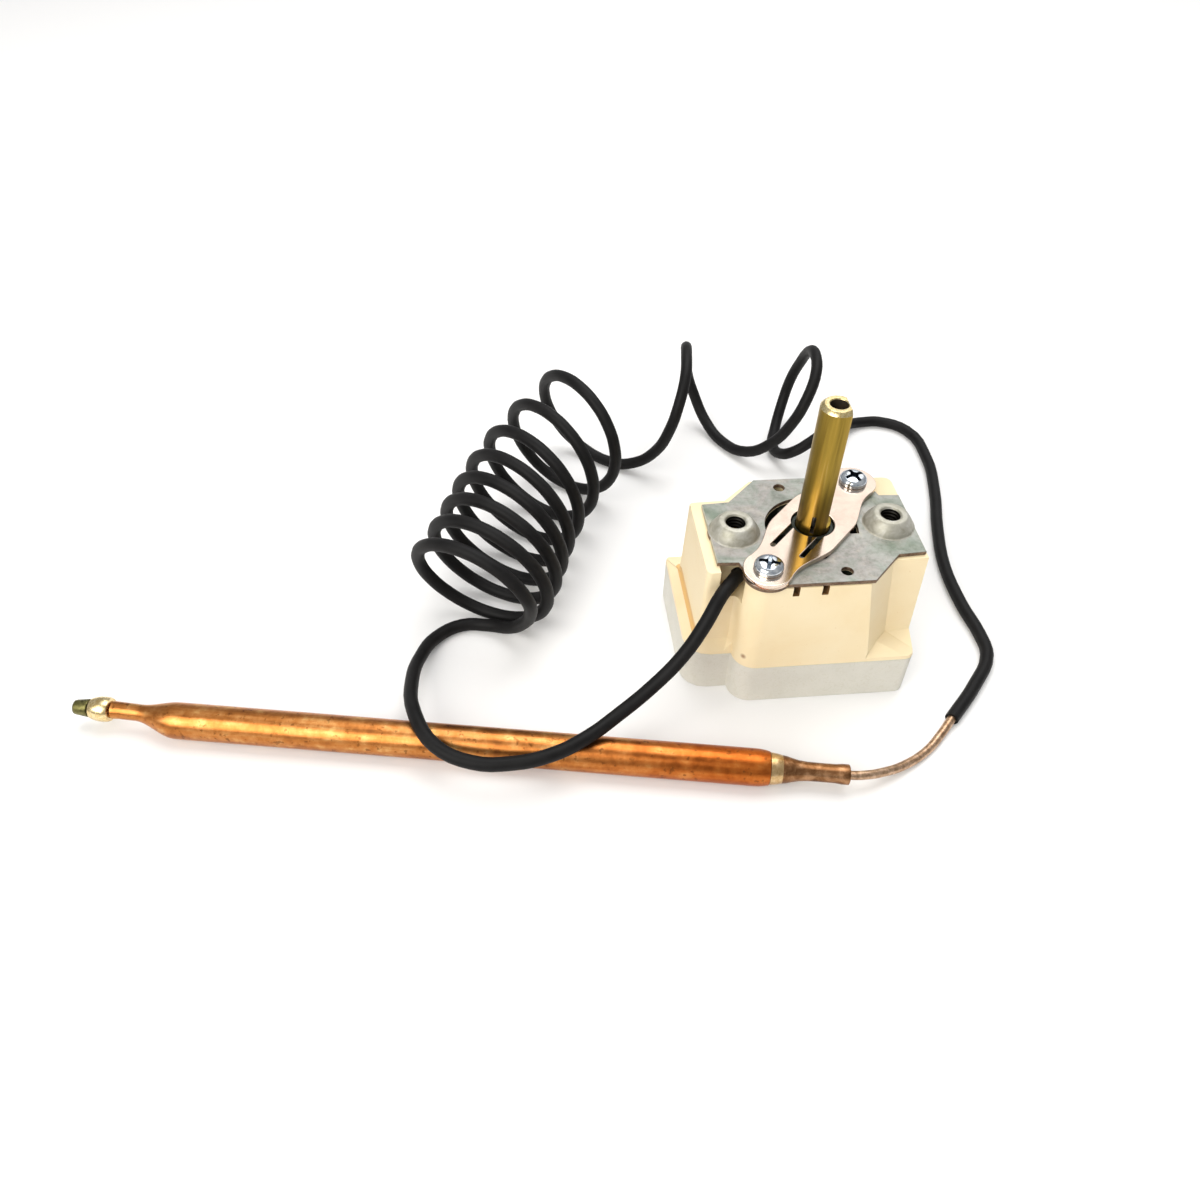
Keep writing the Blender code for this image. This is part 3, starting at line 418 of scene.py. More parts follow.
sleevePoints = sleeve["leadRoute"] + coilPoints() + sleeve["farRoute"]
sleevedCapillary = wirePiece(sleevePoints, sleeve["radius"], 4)
bareCapillary = wirePiece(sleeve["bareRoute"], sleeve["bareRadius"], 8)
bpy.context.view_layer.update()


# Finishes

def creamThermoset():
    # Compression-moulded melamine, cream: faint flow clouds, a soft skin gloss and a fine orange peel
    look = {"tones": [(0.28, "#F0D9AB"), (0.5, "#F3DFB5"), (0.72, "#F5E3BC")], "cloud": 12.0, "speck": 0.5,
            "speckTones": [(0.70, "#FFFFFF"), (0.78, "#E4CFA6")], "gloss": (0.36, 0.50), "peel": 0.35,
            "creaseShade": "#E2B674", "creaseShadeHeight": 12.3 * mm, "creaseShadeHalf": 0.8 * mm, "creaseShadeLeft": 20.25 * mm,
            "fleck": "#8A5A30", "fleckSpot": (-13.1, -13.95, 11.5), "fleckReach": (0.2 * mm, 0.7 * mm)}
    finish, tree, shader, where = newMaterial("creamMelamineMoulded", ior=1.58)
    clouds = noiseNode(tree, where, look["cloud"], 4.0, 0.55, 0.6)
    specks = rampNode(tree, noiseNode(tree, where, look["speck"]), look["speckTones"])
    specked = mixNode(tree, 0.35, rampNode(tree, clouds, look["tones"]), specks, 'MULTIPLY')
    parts = addNode(tree, "ShaderNodeSeparateXYZ", inputs={"Vector": where}).outputs
    # painted shade: a deeper orange cream band along the crease where the left ledge meets the wall, standing
    # for the shade and colour bleed there
    level = mathNode(tree, 'COMPARE', parts["Z"], look["creaseShadeHeight"], look["creaseShadeHalf"])
    left = mathNode(tree, 'LESS_THAN', parts["X"], shaftX - look["creaseShadeLeft"])
    creaseShaded = mixNode(tree, mathNode(tree, 'MULTIPLY', level, left), specked, linear(look["creaseShade"]))
    x, y, z = look["fleckSpot"]
    away = distanceNode(tree, where, (shaftX + x * mm, y * mm, z * mm))
    near = rangeNode(tree, away, 0.8, 0.0, *look["fleckReach"])
    peel = noiseNode(tree, where, look["peel"])
    setInputs(tree, shader, {"Base Color": mixNode(tree, near, creaseShaded, linear(look["fleck"])),
                             "Roughness": rangeNode(tree, clouds, *look["gloss"]),
                             "Normal": bumpNode(tree, peel, 0.12, 0.03)})
    return finish


def greyPolyester():
    # Glass-filled polyester, moulded, warm light grey: a matt skin with short pale fibres just under it
    look = {"tones": [(0.3, "#D3D0C4"), (0.7, "#DCD9CE")], "cloud": 7.0, "fibre": 0.9,
            "fibreTones": [(0.52, "#FFFFFF"), (0.66, "#EFEDE4")], "gloss": 0.5}
    finish, tree, shader, where = newMaterial("greyPolyesterMoulded", ior=1.52)
    tint = rampNode(tree, noiseNode(tree, where, look["cloud"], 5.0, 0.6, 0.4), look["tones"])
    fibres = noiseNode(tree, where, look["fibre"], 3.0, distortion=2.0)
    mixed = mixNode(tree, 0.4, tint, rampNode(tree, fibres, look["fibreTones"]), 'MULTIPLY')
    setInputs(tree, shader, {"Base Color": mixed, "Roughness": look["gloss"],
                             "Normal": bumpNode(tree, fibres, 0.15, 0.03)})
    return finish


def zincSheet():
    # Cold-rolled sheet, zinc plated: soft grey with milky and faintly mauve or green passivation clouds
    look = {"tones": [(0.30, "#858C83"), (0.44, "#9B9F97"), (0.56, "#A7A6A1"), (0.70, "#B5B2A8")],
            "cloud": 4.5, "stain": 9.0, "spangle": 1.3,
            "stainTones": [(0.34, "#C6D2C4"), (0.48, "#FFFFFF"), (0.62, "#F4EEF0")],
            "spangleTones": [(0.32, "#D3D3CE"), (0.50, "#F4F4F1"), (0.66, "#FFFFFF")],
            "gloss": (0.40, 0.58), "rolling": 1.6, "stretch": (1.0, 9.0, 1.0)}
    finish, tree, shader, where = newMaterial("zincPlatedSheet", metallic=0.75)
    clouds = noiseNode(tree, where, look["cloud"], 5.0, 0.62, 0.8)
    stains = rampNode(tree, noiseNode(tree, where, look["stain"]), look["stainTones"])
    stained = mixNode(tree, 0.8, rampNode(tree, clouds, look["tones"]), stains, 'MULTIPLY')
    spangle = rampNode(tree, noiseNode(tree, where, look["spangle"], 3.0, 0.7), look["spangleTones"])
    rolled = addNode(tree, "ShaderNodeMapping", inputs={"Vector": where, "Scale": look["stretch"]})
    lines = noiseNode(tree, rolled.outputs["Vector"], look["rolling"], 3.0)
    setInputs(tree, shader, {"Base Color": mixNode(tree, 0.85, stained, spangle, 'MULTIPLY'),
                             "Roughness": rangeNode(tree, clouds, *look["gloss"]),
                             "Normal": bumpNode(tree, lines, 0.10, 0.02)})
    return finish


def plainFinish(name, ior, size, tones, gloss):
    # One fine grain and one gloss all over
    finish, tree, shader, where = newMaterial(name, ior=ior)
    tint = rampNode(tree, noiseNode(tree, where, size), tones)
    setInputs(tree, shader, {"Base Color": tint, "Roughness": gloss})
    return finish


def metalFinish(name, look):
    # A metal by its tones and by the grain that its making leaves: drawn, rolled, turned or plated
    finish, tree, shader, where = newMaterial(name, metallic=look.get("metallic", 1.0))
    stretch = look.get("stretch", (1.0, 1.0, 1.0))
    placed = addNode(tree, "ShaderNodeMapping", inputs={"Vector": where, "Scale": stretch}).outputs["Vector"]
    grain = noiseNode(tree, placed, look["grain"], 4.0, 0.6, look.get("swirl", 0.0))
    setInputs(tree, shader, {"Base Color": rampNode(tree, grain, look["tones"]),
                             "Roughness": rangeNode(tree, grain, *look["gloss"]),
                             "Normal": bumpNode(tree, grain, look.get("bump", 0.1), 0.02)})
    return finish


def blackSleeve():
    # Soft PVC sleeving, extruded: near black with a brown cast, a low sheen and slight die lines
    look = {"tones": [(0.3, "#0D0C0C"), (0.7, "#171616")], "cloud": 3.0, "gloss": (0.46, 0.62), "grain": 0.45}
    finish, tree, shader, where = newMaterial("blackPvcSleeve", ior=1.53)
    clouds = noiseNode(tree, where, look["cloud"], 3.0)
    fine = noiseNode(tree, where, look["grain"])
    setInputs(tree, shader, {"Base Color": rampNode(tree, clouds, look["tones"]), "Specular IOR Level": 0.16,
                             "Roughness": rangeNode(tree, clouds, *look["gloss"]),
                             "Normal": bumpNode(tree, fine, 0.15, 0.03)})
    return finish


def shadedThread():
    # Tapped M4 bore: steel with turns 0.7 mm apart, near black as painted shade inside the hole
    look = {"tones": [(0.2, "#0B0A09"), (0.9, "#34312C")], "pitch": 0.7, "gloss": 0.45}
    finish, tree, shader, where = newMaterial("shadedThread", metallic=0.8)
    # at scale 1 the wave node's bands are 2 pi / 20 apart
    turns = addNode(tree, "ShaderNodeTexWave",
                    {"wave_type": 'BANDS', "bands_direction": 'Z', "wave_profile": 'TRI'},
                    {"Vector": where, "Scale": 2 * math.pi / (20 * look["pitch"] * mm)}).outputs["Fac"]
    setInputs(tree, shader, {"Base Color": rampNode(tree, turns, look["tones"]), "Roughness": look["gloss"],
                             "Normal": bumpNode(tree, turns, 0.8, 0.25)})
    return finish


def drawnCopperTube():
    # Deoxidised copper tube, drawn: streaks and fine pits along it, browned and redder where it was brazed
    look = {"far": [(0.26, "#A06332"), (0.42, "#B8743A"), (0.58, "#C5854A"), (0.74, "#D6A262")],
            "near": [(0.26, "#9A4E1C"), (0.42, "#B05C24"), (0.60, "#BC692C"), (0.76, "#C97C3C")],
            "heated": (18.0 * mm, 59.6 * mm), "streak": 0.8, "stretch": (14.0, 1.0, 1.0), "cloud": 2.6,
            "pit": "#5E3618", "pitSize": 1.0, "pitSpan": (0.62, 0.70), "gloss": (0.26, 0.44)}
    finish, tree, shader, where = newMaterial("drawnCopperTube", metallic=1.0)
    along = addNode(tree, "ShaderNodeMapping", {"vector_type": 'TEXTURE'}, {
        "Vector": where, "Rotation": (0.0, 0.0, body["bulbTurn"]), "Scale": look["stretch"]})
    streaks = noiseNode(tree, along.outputs["Vector"], look["streak"], 3.0)
    clouds = noiseNode(tree, where, look["cloud"], 4.0, 0.6)
    # both noises about the middle of the ramps, the clouds the stronger
    cloudy = mathNode(tree, 'MULTIPLY_ADD', clouds, 1.2, -0.6)
    tone = mathNode(tree, 'ADD', mathNode(tree, 'MULTIPLY_ADD', streaks, 0.55, cloudy), 0.225)
    away = distanceNode(tree, where, (shaftX + body["bulbEnd"][0], body["bulbEnd"][1], body["bulbHeight"]))
    heat = rangeNode(tree, away, 1.0, 0.0, *look["heated"], kind='SMOOTHSTEP')
    mixed = mixNode(tree, heat, rampNode(tree, tone, look["far"]), rampNode(tree, tone, look["near"]))
    pits = rangeNode(tree, noiseNode(tree, where, look["pitSize"]), 0.0, 0.6, *look["pitSpan"])
    setInputs(tree, shader, {"Base Color": mixNode(tree, pits, mixed, linear(look["pit"])),
                             "Roughness": rangeNode(tree, tone, *look["gloss"]),
                             "Normal": bumpNode(tree, streaks, 0.10, 0.02)})
    return finish


metals = {
    # sheared edge of the plate: bare steel gone brown
    "rustedCutEdge": {"tones": [(0.35, "#5A4636"), (0.65, "#8C7560")], "grain": 0.6, "gloss": (0.5, 0.7),
                      "metallic": 0.4},
    # bosses drawn up from the sheet: the zinc is stretched matt and has yellowed a little
    "drawnZincBoss": {"tones": [(0.30, "#9F9C8C"), (0.50, "#B2AFA2"), (0.70, "#C3C1B8")], "grain": 1.6,
                      "swirl": 0.8, "gloss": (0.42, 0.58), "metallic": 0.55, "bump": 0.08},
    # end of the shaft, newly chamfered and brighter for it, made paler still as a painted highlight on the
    # chamfer ring
    "freshCutBrassAndSheen": {"tones": [(0.3, "#C9B070"), (0.7, "#F2E2B4")], "grain": 0.4, "gloss": (0.2, 0.34)},
    # strap: bright nickel over steel, near a mirror with faint rub marks
    "brightNickelPlate": {"tones": [(0.3, "#DAC4B4"), (0.7, "#E7D7C6")], "grain": 4.0, "swirl": 0.6,
                          "gloss": (0.12, 0.18), "bump": 0.001},
    # screws: bright zinc, blue passivated
    "blueZincScrew": {"tones": [(0.35, "#B9C2CC"), (0.65, "#E8ECEF")], "grain": 0.8, "gloss": (0.12, 0.28),
                      "bump": 0.08},
    # painted shade: the cross recess is darkened to a dark blue
    "shadedRecess": {"tones": [(0.35, "#38434F"), (0.65, "#6A7685")], "grain": 0.6, "gloss": (0.25, 0.4),
                     "bump": 0.08},
    # the shaft is cut from drawn tube, so its marks and tarnish run along it
    "drawnBrassTube": {"tones": [(0.26, "#6F5B28"), (0.45, "#917934"), (0.60, "#A3873A"), (0.76, "#C0A465")],
                       "grain": 1.1, "stretch": (1.0, 1.0, 0.045), "gloss": (0.28, 0.42)},
    # painted shade: the shaft's bore and slit are near-black brown, standing for the shadow inside them
    "paintedShadeBore": {"tones": [(0.35, "#171006"), (0.65, "#33240E")], "grain": 0.8, "gloss": (0.6, 0.8),
                  "metallic": 0.0},
    # painted shade: near black standing for the shadow in the deep round opening and the peg wells of the
    # housing
    "paintedShadeInside": {"tones": [(0.35, "#14170F"), (0.65, "#2A2E22")], "grain": 0.8, "gloss": (0.4, 0.6),
                      "metallic": 0.2},
    # turned inner pieces
    "turnedBrass": {"tones": [(0.35, "#B08D46"), (0.65, "#D2B268")], "grain": 0.5, "stretch": (1.0, 1.0, 6.0),
                    "gloss": (0.24, 0.36)},
    "phosphatedSteel": {"tones": [(0.35, "#1C211C"), (0.65, "#363D34")], "grain": 0.35, "gloss": (0.45, 0.62),
                        "metallic": 0.5, "bump": 0.25},
    "capsuleSteel": {"tones": [(0.35, "#B6B4AE"), (0.65, "#D4D2CC")], "grain": 1.2, "gloss": (0.2, 0.32)},
    "plainScrewSteel": {"tones": [(0.35, "#A5A7A8"), (0.65, "#CBCDCE")], "grain": 0.6, "gloss": (0.25, 0.4)},
    "springBronzeStrip": {"tones": [(0.35, "#A97845"), (0.65, "#C99A62")], "grain": 0.8,
                          "stretch": (0.2, 1.0, 1.0), "gloss": (0.22, 0.34)},
    "silverContact": {"tones": [(0.35, "#CFCFCB"), (0.65, "#EDEDE9")], "grain": 0.5, "gloss": (0.2, 0.34)},
    "stampedBrass": {"tones": [(0.35, "#B59B55"), (0.65, "#D8BE7C")], "grain": 0.9,
                     "stretch": (1.0, 1.0, 0.3), "gloss": (0.24, 0.36)},
    # the capillary is drawn copper, dulled to a pale pinkish tan
    "dulledCopperCapillary": {"tones": [(0.3, "#8C6E54"), (0.5, "#B69577"), (0.7, "#DFC0A4")], "grain": 0.9,
                              "gloss": (0.32, 0.46)},
    "heatTintedCopper": {"tones": [(0.30, "#6A4526"), (0.48, "#8C6240"), (0.70, "#B88C66")], "grain": 1.6,
                         "gloss": (0.28, 0.45), "swirl": 0.6, "bump": 0.15},
    "silverBrazeRing": {"tones": [(0.3, "#B9935E"), (0.7, "#DDBF90")], "grain": 0.8, "gloss": (0.22, 0.38),
                        "swirl": 0.8, "bump": 0.2},
    "brassFiller": {"tones": [(0.3, "#D2B272"), (0.7, "#F8E6B8")], "grain": 0.8, "gloss": (0.20, 0.34),
                    "swirl": 1.0, "bump": 0.5},
    # the nipped end beyond the braze has gone olive
    "tarnishedFiller": {"tones": [(0.3, "#4E4B2C"), (0.7, "#8A8452")], "grain": 0.7, "gloss": (0.34, 0.5),
                        "bump": 0.3},
}
finishes = {name: metalFinish(name, look) for name, look in metals.items()}
finishes.update(cream=creamThermoset(), grey=greyPolyester(), zincSheet=zincSheet(), sleeve=blackSleeve(),
                drawnCopperTube=drawnCopperTube(), thread=shadedThread())
# fired steatite: white, fine grained, a dry satin
finishes["steatite"] = plainFinish("whiteSteatiteFired", 1.55, 0.4,
                                   [(0.35, "#E2DED2"), (0.65, "#F4F1E9")], 0.42)
# painted shade: dark brown standing for the shadow in the small notches and in the wells under the bosses
finishes["notch"] = plainFinish("paintedShadeNotch", 1.5, 0.6,
                                [(0.35, "#5C4020"), (0.65, "#8E683A")], 0.8)
print("finishes made:", len(finishes))

# Solids that keep their own shape
shownSolids = {"dulledCopperCapillary": ["capillary_tail"], "plainScrewSteel": ["calibration_screw"],
               "turnedBrass": ["adjusting_spindle", "capsule_carrier", "blade_rivet"],
               "capsuleSteel": ["diaphragm_capsule"], "steatite": ["push_pin"],
               "springBronzeStrip": ["snap_blade"], "silverContact": ["moving_contact", "fixed_contact"],
               "stampedBrass": ["terminal_common", "terminal_load"]}
for finishName, nodeNames in shownSolids.items():
    for nodeName in nodeNames:
        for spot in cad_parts[nodeName].material_slots:
            spot.material = finishes[finishName]


# Mouldings

moulding = {
    "merge": 0.005 * mm, "flat": math.radians(1.0), "bevelAngle": 28.0, "smooth": 40.0, "broadest": 100,
    "housingEdge": 0.30 * mm, "baseEdge": 0.35 * mm,
    # seams to close: the height in the solids and the height here
    "seams": ((9.5 * mm, 9.24 * mm), (28.1 * mm, 28.36 * mm)), "seamReach": 0.02 * mm,
    # the upper back wall stands further out over its left and middle part
    "backLow": 11.0 * mm, "backRight": 9.0 * mm, "backStart": 8.4 * mm, "backOut": 0.5 * mm,
    "endLeft": -12.0 * mm, "endOut": 0.4 * mm,
    # notches in the front edge
    "notchMiddle": -3.4 * mm, "notchHalf": 3.125 * mm, "notchDepth": (-14.05 * mm, -9.9 * mm),
    "notchHeight": (26.3 * mm, 28.05 * mm),
    # the round opening, the peg wells and the wells under the bosses
    "opening": 8.6 * mm, "openingHeight": (24.0 * mm, 28.3 * mm), "pegX": 3.27 * mm, "pegY": 11.6 * mm,
    "pegWell": 1.2 * mm, "pegLow": 24.8 * mm, "bossWell": 2.4 * mm, "bossLow": 25.9 * mm,
}


def moveBackWall(piece):
    # Outward, and its left end to the left as well
    m = moulding
    for vertex in piece.data.vertices:
        spot = vertex.co
        if spot.z > m["backLow"] and spot.x < shaftX + m["backRight"] and spot.y > m["backStart"]:
            spot.y += m["backOut"]
            if spot.x < shaftX + m["endLeft"]:
                spot.x -= m["endOut"]


def dressMoulding(nodeName, edge, seams, finishList):
    # A copy of the solid with its loose triangles merged to flats, its seams closed and the moulded edges
    piece = newPiece(nodeName + "_dressed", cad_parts[nodeName].data.copy())
    editAll(piece)
    bpy.ops.mesh.remove_doubles(threshold=moulding["merge"])
    bpy.ops.mesh.dissolve_limited(angle_limit=moulding["flat"])
    bpy.ops.object.mode_set(mode='OBJECT')
    for vertex in piece.data.vertices:
        for height, moved in seams:
            if abs(vertex.co.z - height) < moulding["seamReach"]:
                vertex.co.z = moved
    if nodeName == "housing":
        moveBackWall(piece)
    bevelEdges(piece, edge, moulding["bevelAngle"])
    # broad flats keep their own normals, so that they shade evenly up to the rounded edges
    smoothShade(piece, moulding["smooth"])
    level = piece.modifiers.new("level", 'WEIGHTED_NORMAL')
    level.mode = 'FACE_AREA'
    level.weight = moulding["broadest"]
    level.keep_sharp = True
    applyModifiers(piece)
    return finishPiece(piece, nodeName + "_dressed", "switch_body", finishList, (nodeName,),
                       moulding["smooth"])


def isNotch(face):
    m = moulding
    return (abs(face.center.x - shaftX - m["notchMiddle"]) < m["notchHalf"]
            and m["notchDepth"][0] < face.center.y < m["notchDepth"][1]
            and m["notchHeight"][0] < face.center.z < m["notchHeight"][1])


def isOpening(face):
    low, high = moulding["openingHeight"]
    return low < face.center.z < high and reachOf(face) < moulding["opening"]


def isPegWell(face):
    m = moulding
    near = min(reachOf(face, side * m["pegX"], -side * m["pegY"]) for side in bothSides)
    return face.center.z > m["pegLow"] and near < m["pegWell"]


def isBossWell(face):
    near = min(reachOf(face, side * body["bossX"]) for side in bothSides)
    return face.center.z > moulding["bossLow"] and near < moulding["bossWell"]


housingLook = dressMoulding("housing", moulding["housingEdge"], moulding["seams"],
                            [finishes["cream"], finishes["notch"], finishes["paintedShadeInside"]])
# painted shade: the notches, the round opening and the wells get dark finishes standing for the shade inside
# them
for index, test in ((1, isNotch), (2, isOpening), (2, isPegWell), (1, isBossWell)):
    paintFaces(housingLook, index, test)
baseLook = dressMoulding("base", moulding["baseEdge"], (), [finishes["grey"]])
print("mouldings dressed", len(housingLook.data.polygons), len(baseLook.data.polygons))


# Mounting plate and its drawn bosses

plate = {"halfLength": 18.5 * mm, "halfDepth": 14.15 * mm, "earHalf": 7.9 * mm, "earLean": 0.2 * mm,
         "chamferX": 7.6 * mm, "earX": 13.5 * mm, "blockEnd": 14.8 * mm, "lobe": 4.1 * mm,
         "lobeSpan": (160.0, 312.0), "opening": 8.3 * mm, "steps": 96, "chord": 6.0 * mm,
         "chordSpan": (math.radians(26.0), math.radians(60.0)), "pegHole": 1.05 * mm,
         "screwHole": 1.7 * mm, "underBoss": 0.3 * mm, "edge": 0.10 * mm, "angle": 24.0}
boss = {"rim": 3.1 * mm, "foot": 4.45 * mm, "height": 2.4 * mm, "bore": 1.75 * mm, "skirt": 0.25 * mm,
        "swell": 1.35, "sides": 64}


def holePoints(x, y, radius, count):
    return arcPoints(x, y, radius, 0.0, 360.0 * (count - 1) / count, count - 1)


def plateHalf():
    # Half the outline, for its other half is the same turned round
    p = plate
    lean = p["earHalf"] + p["earLean"]
    return ([(-p["halfLength"], p["earHalf"] - 0.1 * mm), (-p["halfLength"], -p["earHalf"])]
            + [(-p["blockEnd"], -lean)] + arcPoints(-screwX, -screwY, p["lobe"], *p["lobeSpan"], 30)
            + [(p["chamferX"], -p["halfDepth"]), (p["earX"], -lean)])


def plateOpening():
    # Round, but drawn in to a chord by the strap's edge at the front right
    p = plate
    chordTurn = body["strapTurn"] - math.radians(90.0)
    past, wide = p["chordSpan"]
    around = []
    for i in range(p["steps"]):
        a = math.radians(360.0 * i / p["steps"])
        off = math.atan2(math.sin(a - chordTurn), math.cos(a - chordTurn))
        reach = p["opening"]
        if -wide <= off <= past:
            reach = min(reach, p["chord"] / math.cos(off))
        around.append((reach * math.cos(a), reach * math.sin(a)))
    return around


def bossReach(face):
    return min(reachOf(face, side * body["bossX"]) for side in bothSides)


def isSheetEdge(face):
    return abs(face.normal.z) < 0.5 and bossReach(face) > boss["foot"] + 0.1 * mm


def isBoss(face):
    near = bossReach(face)
    return near < boss["foot"] + 0.2 * mm and abs(face.normal.z) < 0.9999 or near < boss["rim"]


def isBore(face):
    return bossReach(face) < boss["bore"] + 0.03 * mm


def makePlate():
    p = plate
    half = plateHalf()
    outline = half + [(-x, -y) for x, y in half]
    holes = [plateOpening()]
    for side in bothSides:
        holes.append(holePoints(side * body["bossX"], 0.0, boss["foot"] - p["underBoss"], 48))
        holes.append(holePoints(side * moulding["pegX"], -side * moulding["pegY"], p["pegHole"], 24))
        holes.append(holePoints(side * screwX, side * screwY, p["screwHole"], 24))
    sheet = flatPiece(outline, holes, body["plateLow"], body["plateTop"], p["edge"])
    rings = [makeBoss(side) for side in bothSides]
    deselectAll()
    for piece in rings + [sheet]:
        piece.select_set(True)
    bpy.context.view_layer.objects.active = sheet
    bpy.ops.object.transform_apply(location=True, rotation=True, scale=True)
    bpy.ops.object.join()
    finishList = [finishes[name] for name in ("zincSheet", "rustedCutEdge", "thread", "drawnZincBoss")]
    finishPiece(sheet, "mounting_plate_dressed", "switch_body", finishList,
                ("mounting_plate",), p["angle"])
    # painted shade: the boss bores get the near-black thread finish
    for index, test in ((1, isSheetEdge), (3, isBoss), (2, isBore)):
        paintFaces(sheet, index, test)
    keepFlat(sheet)


def makeBoss(side):
    # Drawn up out of the sheet: a round foot, a cone that swells a little, a flat rim and a broken mouth
    rim, foot, tall, bore, skirt = (boss[key] for key in ("rim", "foot", "height", "bore", "skirt"))
    low, top = body["plateTop"], body["plateTop"] + tall
    under = body["plateLow"] + 0.02 * mm
    steps = [(foot + skirt, low - 0.02 * mm), (foot + 0.10 * mm, low + 0.04 * mm),
             (foot - 0.03 * mm, low + 0.16 * mm)]
    for i in range(1, 8):
        t = i / 8
        steps.append((foot - 0.05 * mm - (foot - rim - 0.05 * mm) * t ** boss["swell"],
                      low + 0.2 * mm + (tall - 0.3 * mm) * t))
    steps += [(rim - 0.12 * mm, top - 0.06 * mm), (rim - 0.30 * mm, top), (bore + 0.38 * mm, top - 0.01 * mm),
              (bore + 0.16 * mm, top - 0.12 * mm), (bore, top - 0.45 * mm),
              (bore, body["plateLow"] + 0.2 * mm), (bore + 0.4 * mm, under), (foot + skirt, under),
              (foot + skirt, low - 0.02 * mm)]
    return turnedPiece(steps, boss["sides"], side * body["bossX"], 0.0, ring=True)


makePlate()
print("plate and bosses made")


# Bearing strap

strap = {"wide": 6.2 * mm, "neck": 4.05 * mm, "flank": (3.4 * mm, 12.6 * mm), "end": 4.3 * mm,
         "endSpan": (106.0, 4.0), "hole": 3.85 * mm, "screwHole": 1.6 * mm, "lift": 0.06 * mm,
         "edge": 0.12 * mm, "slits": ((2.5 * mm, 10.0 * mm), (-2.9 * mm, 9.4 * mm)), "slitHalf": 0.4 * mm,
         "angle": 24.0}


def strapOutline():
    # A quarter turned about both axes: the flank eases in from the wide middle and a round end follows
    s = strap
    start, end = s["flank"]
    quarter = []
    steps = 14
    for i in range(steps + 1):
        along = end * i / steps
        t = min(1.0, max(0.0, (along - start) / (end - start)))
        quarter.append((along, s["neck"] + (s["wide"] - s["neck"]) * (1.0 - t * t * (3.0 - 2.0 * t))))
    quarter += arcPoints(body["screwReach"], 0.0, s["end"], *s["endSpan"], 17)
    ring = quarter + [(x, -y) for x, y in reversed(quarter)][:-1]
    ring += [(-x, -y) for x, y in quarter[1:]] + [(-x, y) for x, y in reversed(quarter)][:-1]
    return ring


def strapHole():
    # The bearing hole with the two slits that run out of it on one side
    s = strap
    points = []
    angle = 0.0
    for across, reach in s["slits"]:
        high, low = (math.degrees(math.pi - math.asin((across + half) / s["hole"]))
                     for half in (s["slitHalf"], -s["slitHalf"]))
        points += arcPoints(0.0, 0.0, s["hole"], angle, high, 16)
        points += arcPoints(-reach + s["slitHalf"], across, s["slitHalf"], 90.0, 270.0, 8)
        angle = low
    return points + arcPoints(0.0, 0.0, s["hole"], angle, 357.0, 18)


def makeStrap():
    holes = [strapHole()]
    for side in bothSides:
        holes.append(holePoints(side * body["screwReach"], 0.0, strap["screwHole"], 24))
    sheet = flatPiece(strapOutline(), holes, body["plateTop"] + strap["lift"], body["strapTop"],
                      strap["edge"], body["strapTurn"])
    finishPiece(sheet, "bearing_strap_dressed", "switch_body",
                [finishes["brightNickelPlate"]], ("bearing_strap",), strap["angle"])
    keepFlat(sheet)


makeStrap()
print("strap made")


# Screws

screw = {"head": 2.55 * mm, "tall": 1.60 * mm, "brim": 0.52 * mm, "crown": 0.38, "shank": 1.4 * mm,
         "length": 8.7 * mm, "sides": 56, "turn": 20.0,
         # the cross recess: two arms and a middle, each by its size, its turn and how far it narrows
         "cuts": (((4.9 * mm, 0.95 * mm, 2.6 * mm), 0.0, 0.55), ((4.9 * mm, 0.95 * mm, 2.6 * mm), 90.0, 0.55),
                  ((1.9 * mm, 1.9 * mm, 2.8 * mm), 45.0, 0.6)),
         "recessHeight": (-2.0 * mm, -0.12 * mm), "recessReach": 0.86, "slopeTop": -0.75 * mm}


def makeScrew(nodeName, side):
    # Pan head with a tapered cross recess and a thin washer face
    s = screw
    seat = body["strapTop"] + 0.03 * mm
    top = seat + s["tall"]
    x, y = side * screwX, side * screwY
    steps = [(s["shank"] * 0.5, seat - s["length"]), (s["shank"], seat - s["length"] + 0.8 * mm),
             (s["shank"], seat), (s["head"] - 0.12 * mm, seat), (s["head"], seat + 0.12 * mm),
             (s["head"], seat + s["brim"])]
    for i in range(1, 8):
        a = math.radians(90.0 * i / 7)
        steps.append((s["head"] * (s["crown"] + (1 - s["crown"]) * math.cos(a)),
                      seat + s["brim"] + (s["tall"] - s["brim"] - 0.02 * mm) * math.sin(a)))
    piece = turnedPiece(steps, s["sides"], x, y)
    for size, turn, taper in s["cuts"]:
        turn = math.radians(s["turn"] * side) + math.radians(turn)
        cutWith(piece, cutterBox(size, (shaftX + x, y, top), turn, taper))
    finishPiece(piece, nodeName + "_dressed", "switch_body",
                [finishes["blueZincScrew"], finishes["shadedRecess"]], (nodeName,))

    def isRecess(face):
        low, high = s["recessHeight"]
        height = face.center.z - top
        slope = face.normal.z > 0.3 and height > s["slopeTop"]
        return low < height < high and reachOf(face, x, y) < s["head"] * s["recessReach"] and not slope

    # painted shade: the recess faces get the dark blue finish
    paintFaces(piece, 1, isRecess)


for nodeName, side in (("strap_screw_front", -1), ("strap_screw_back", 1)):
    makeScrew(nodeName, side)
print("screws made")


# Shaft and hub

shaft = {"radius": 3.0 * mm, "bore": 1.5 * mm, "tall": 25.9 * mm, "seat": 4.2 * mm, "chamfer": 0.65 * mm,
         "flat": 1.6 * mm, "flatTurn": 0.0, "flatLength": 24.0 * mm, "cutter": 4.0 * mm, "slit": 0.75 * mm,
         "slitTurn": math.radians(-110.0), "slitTall": 3.6 * mm, "edge": 0.08 * mm, "sides": 72}


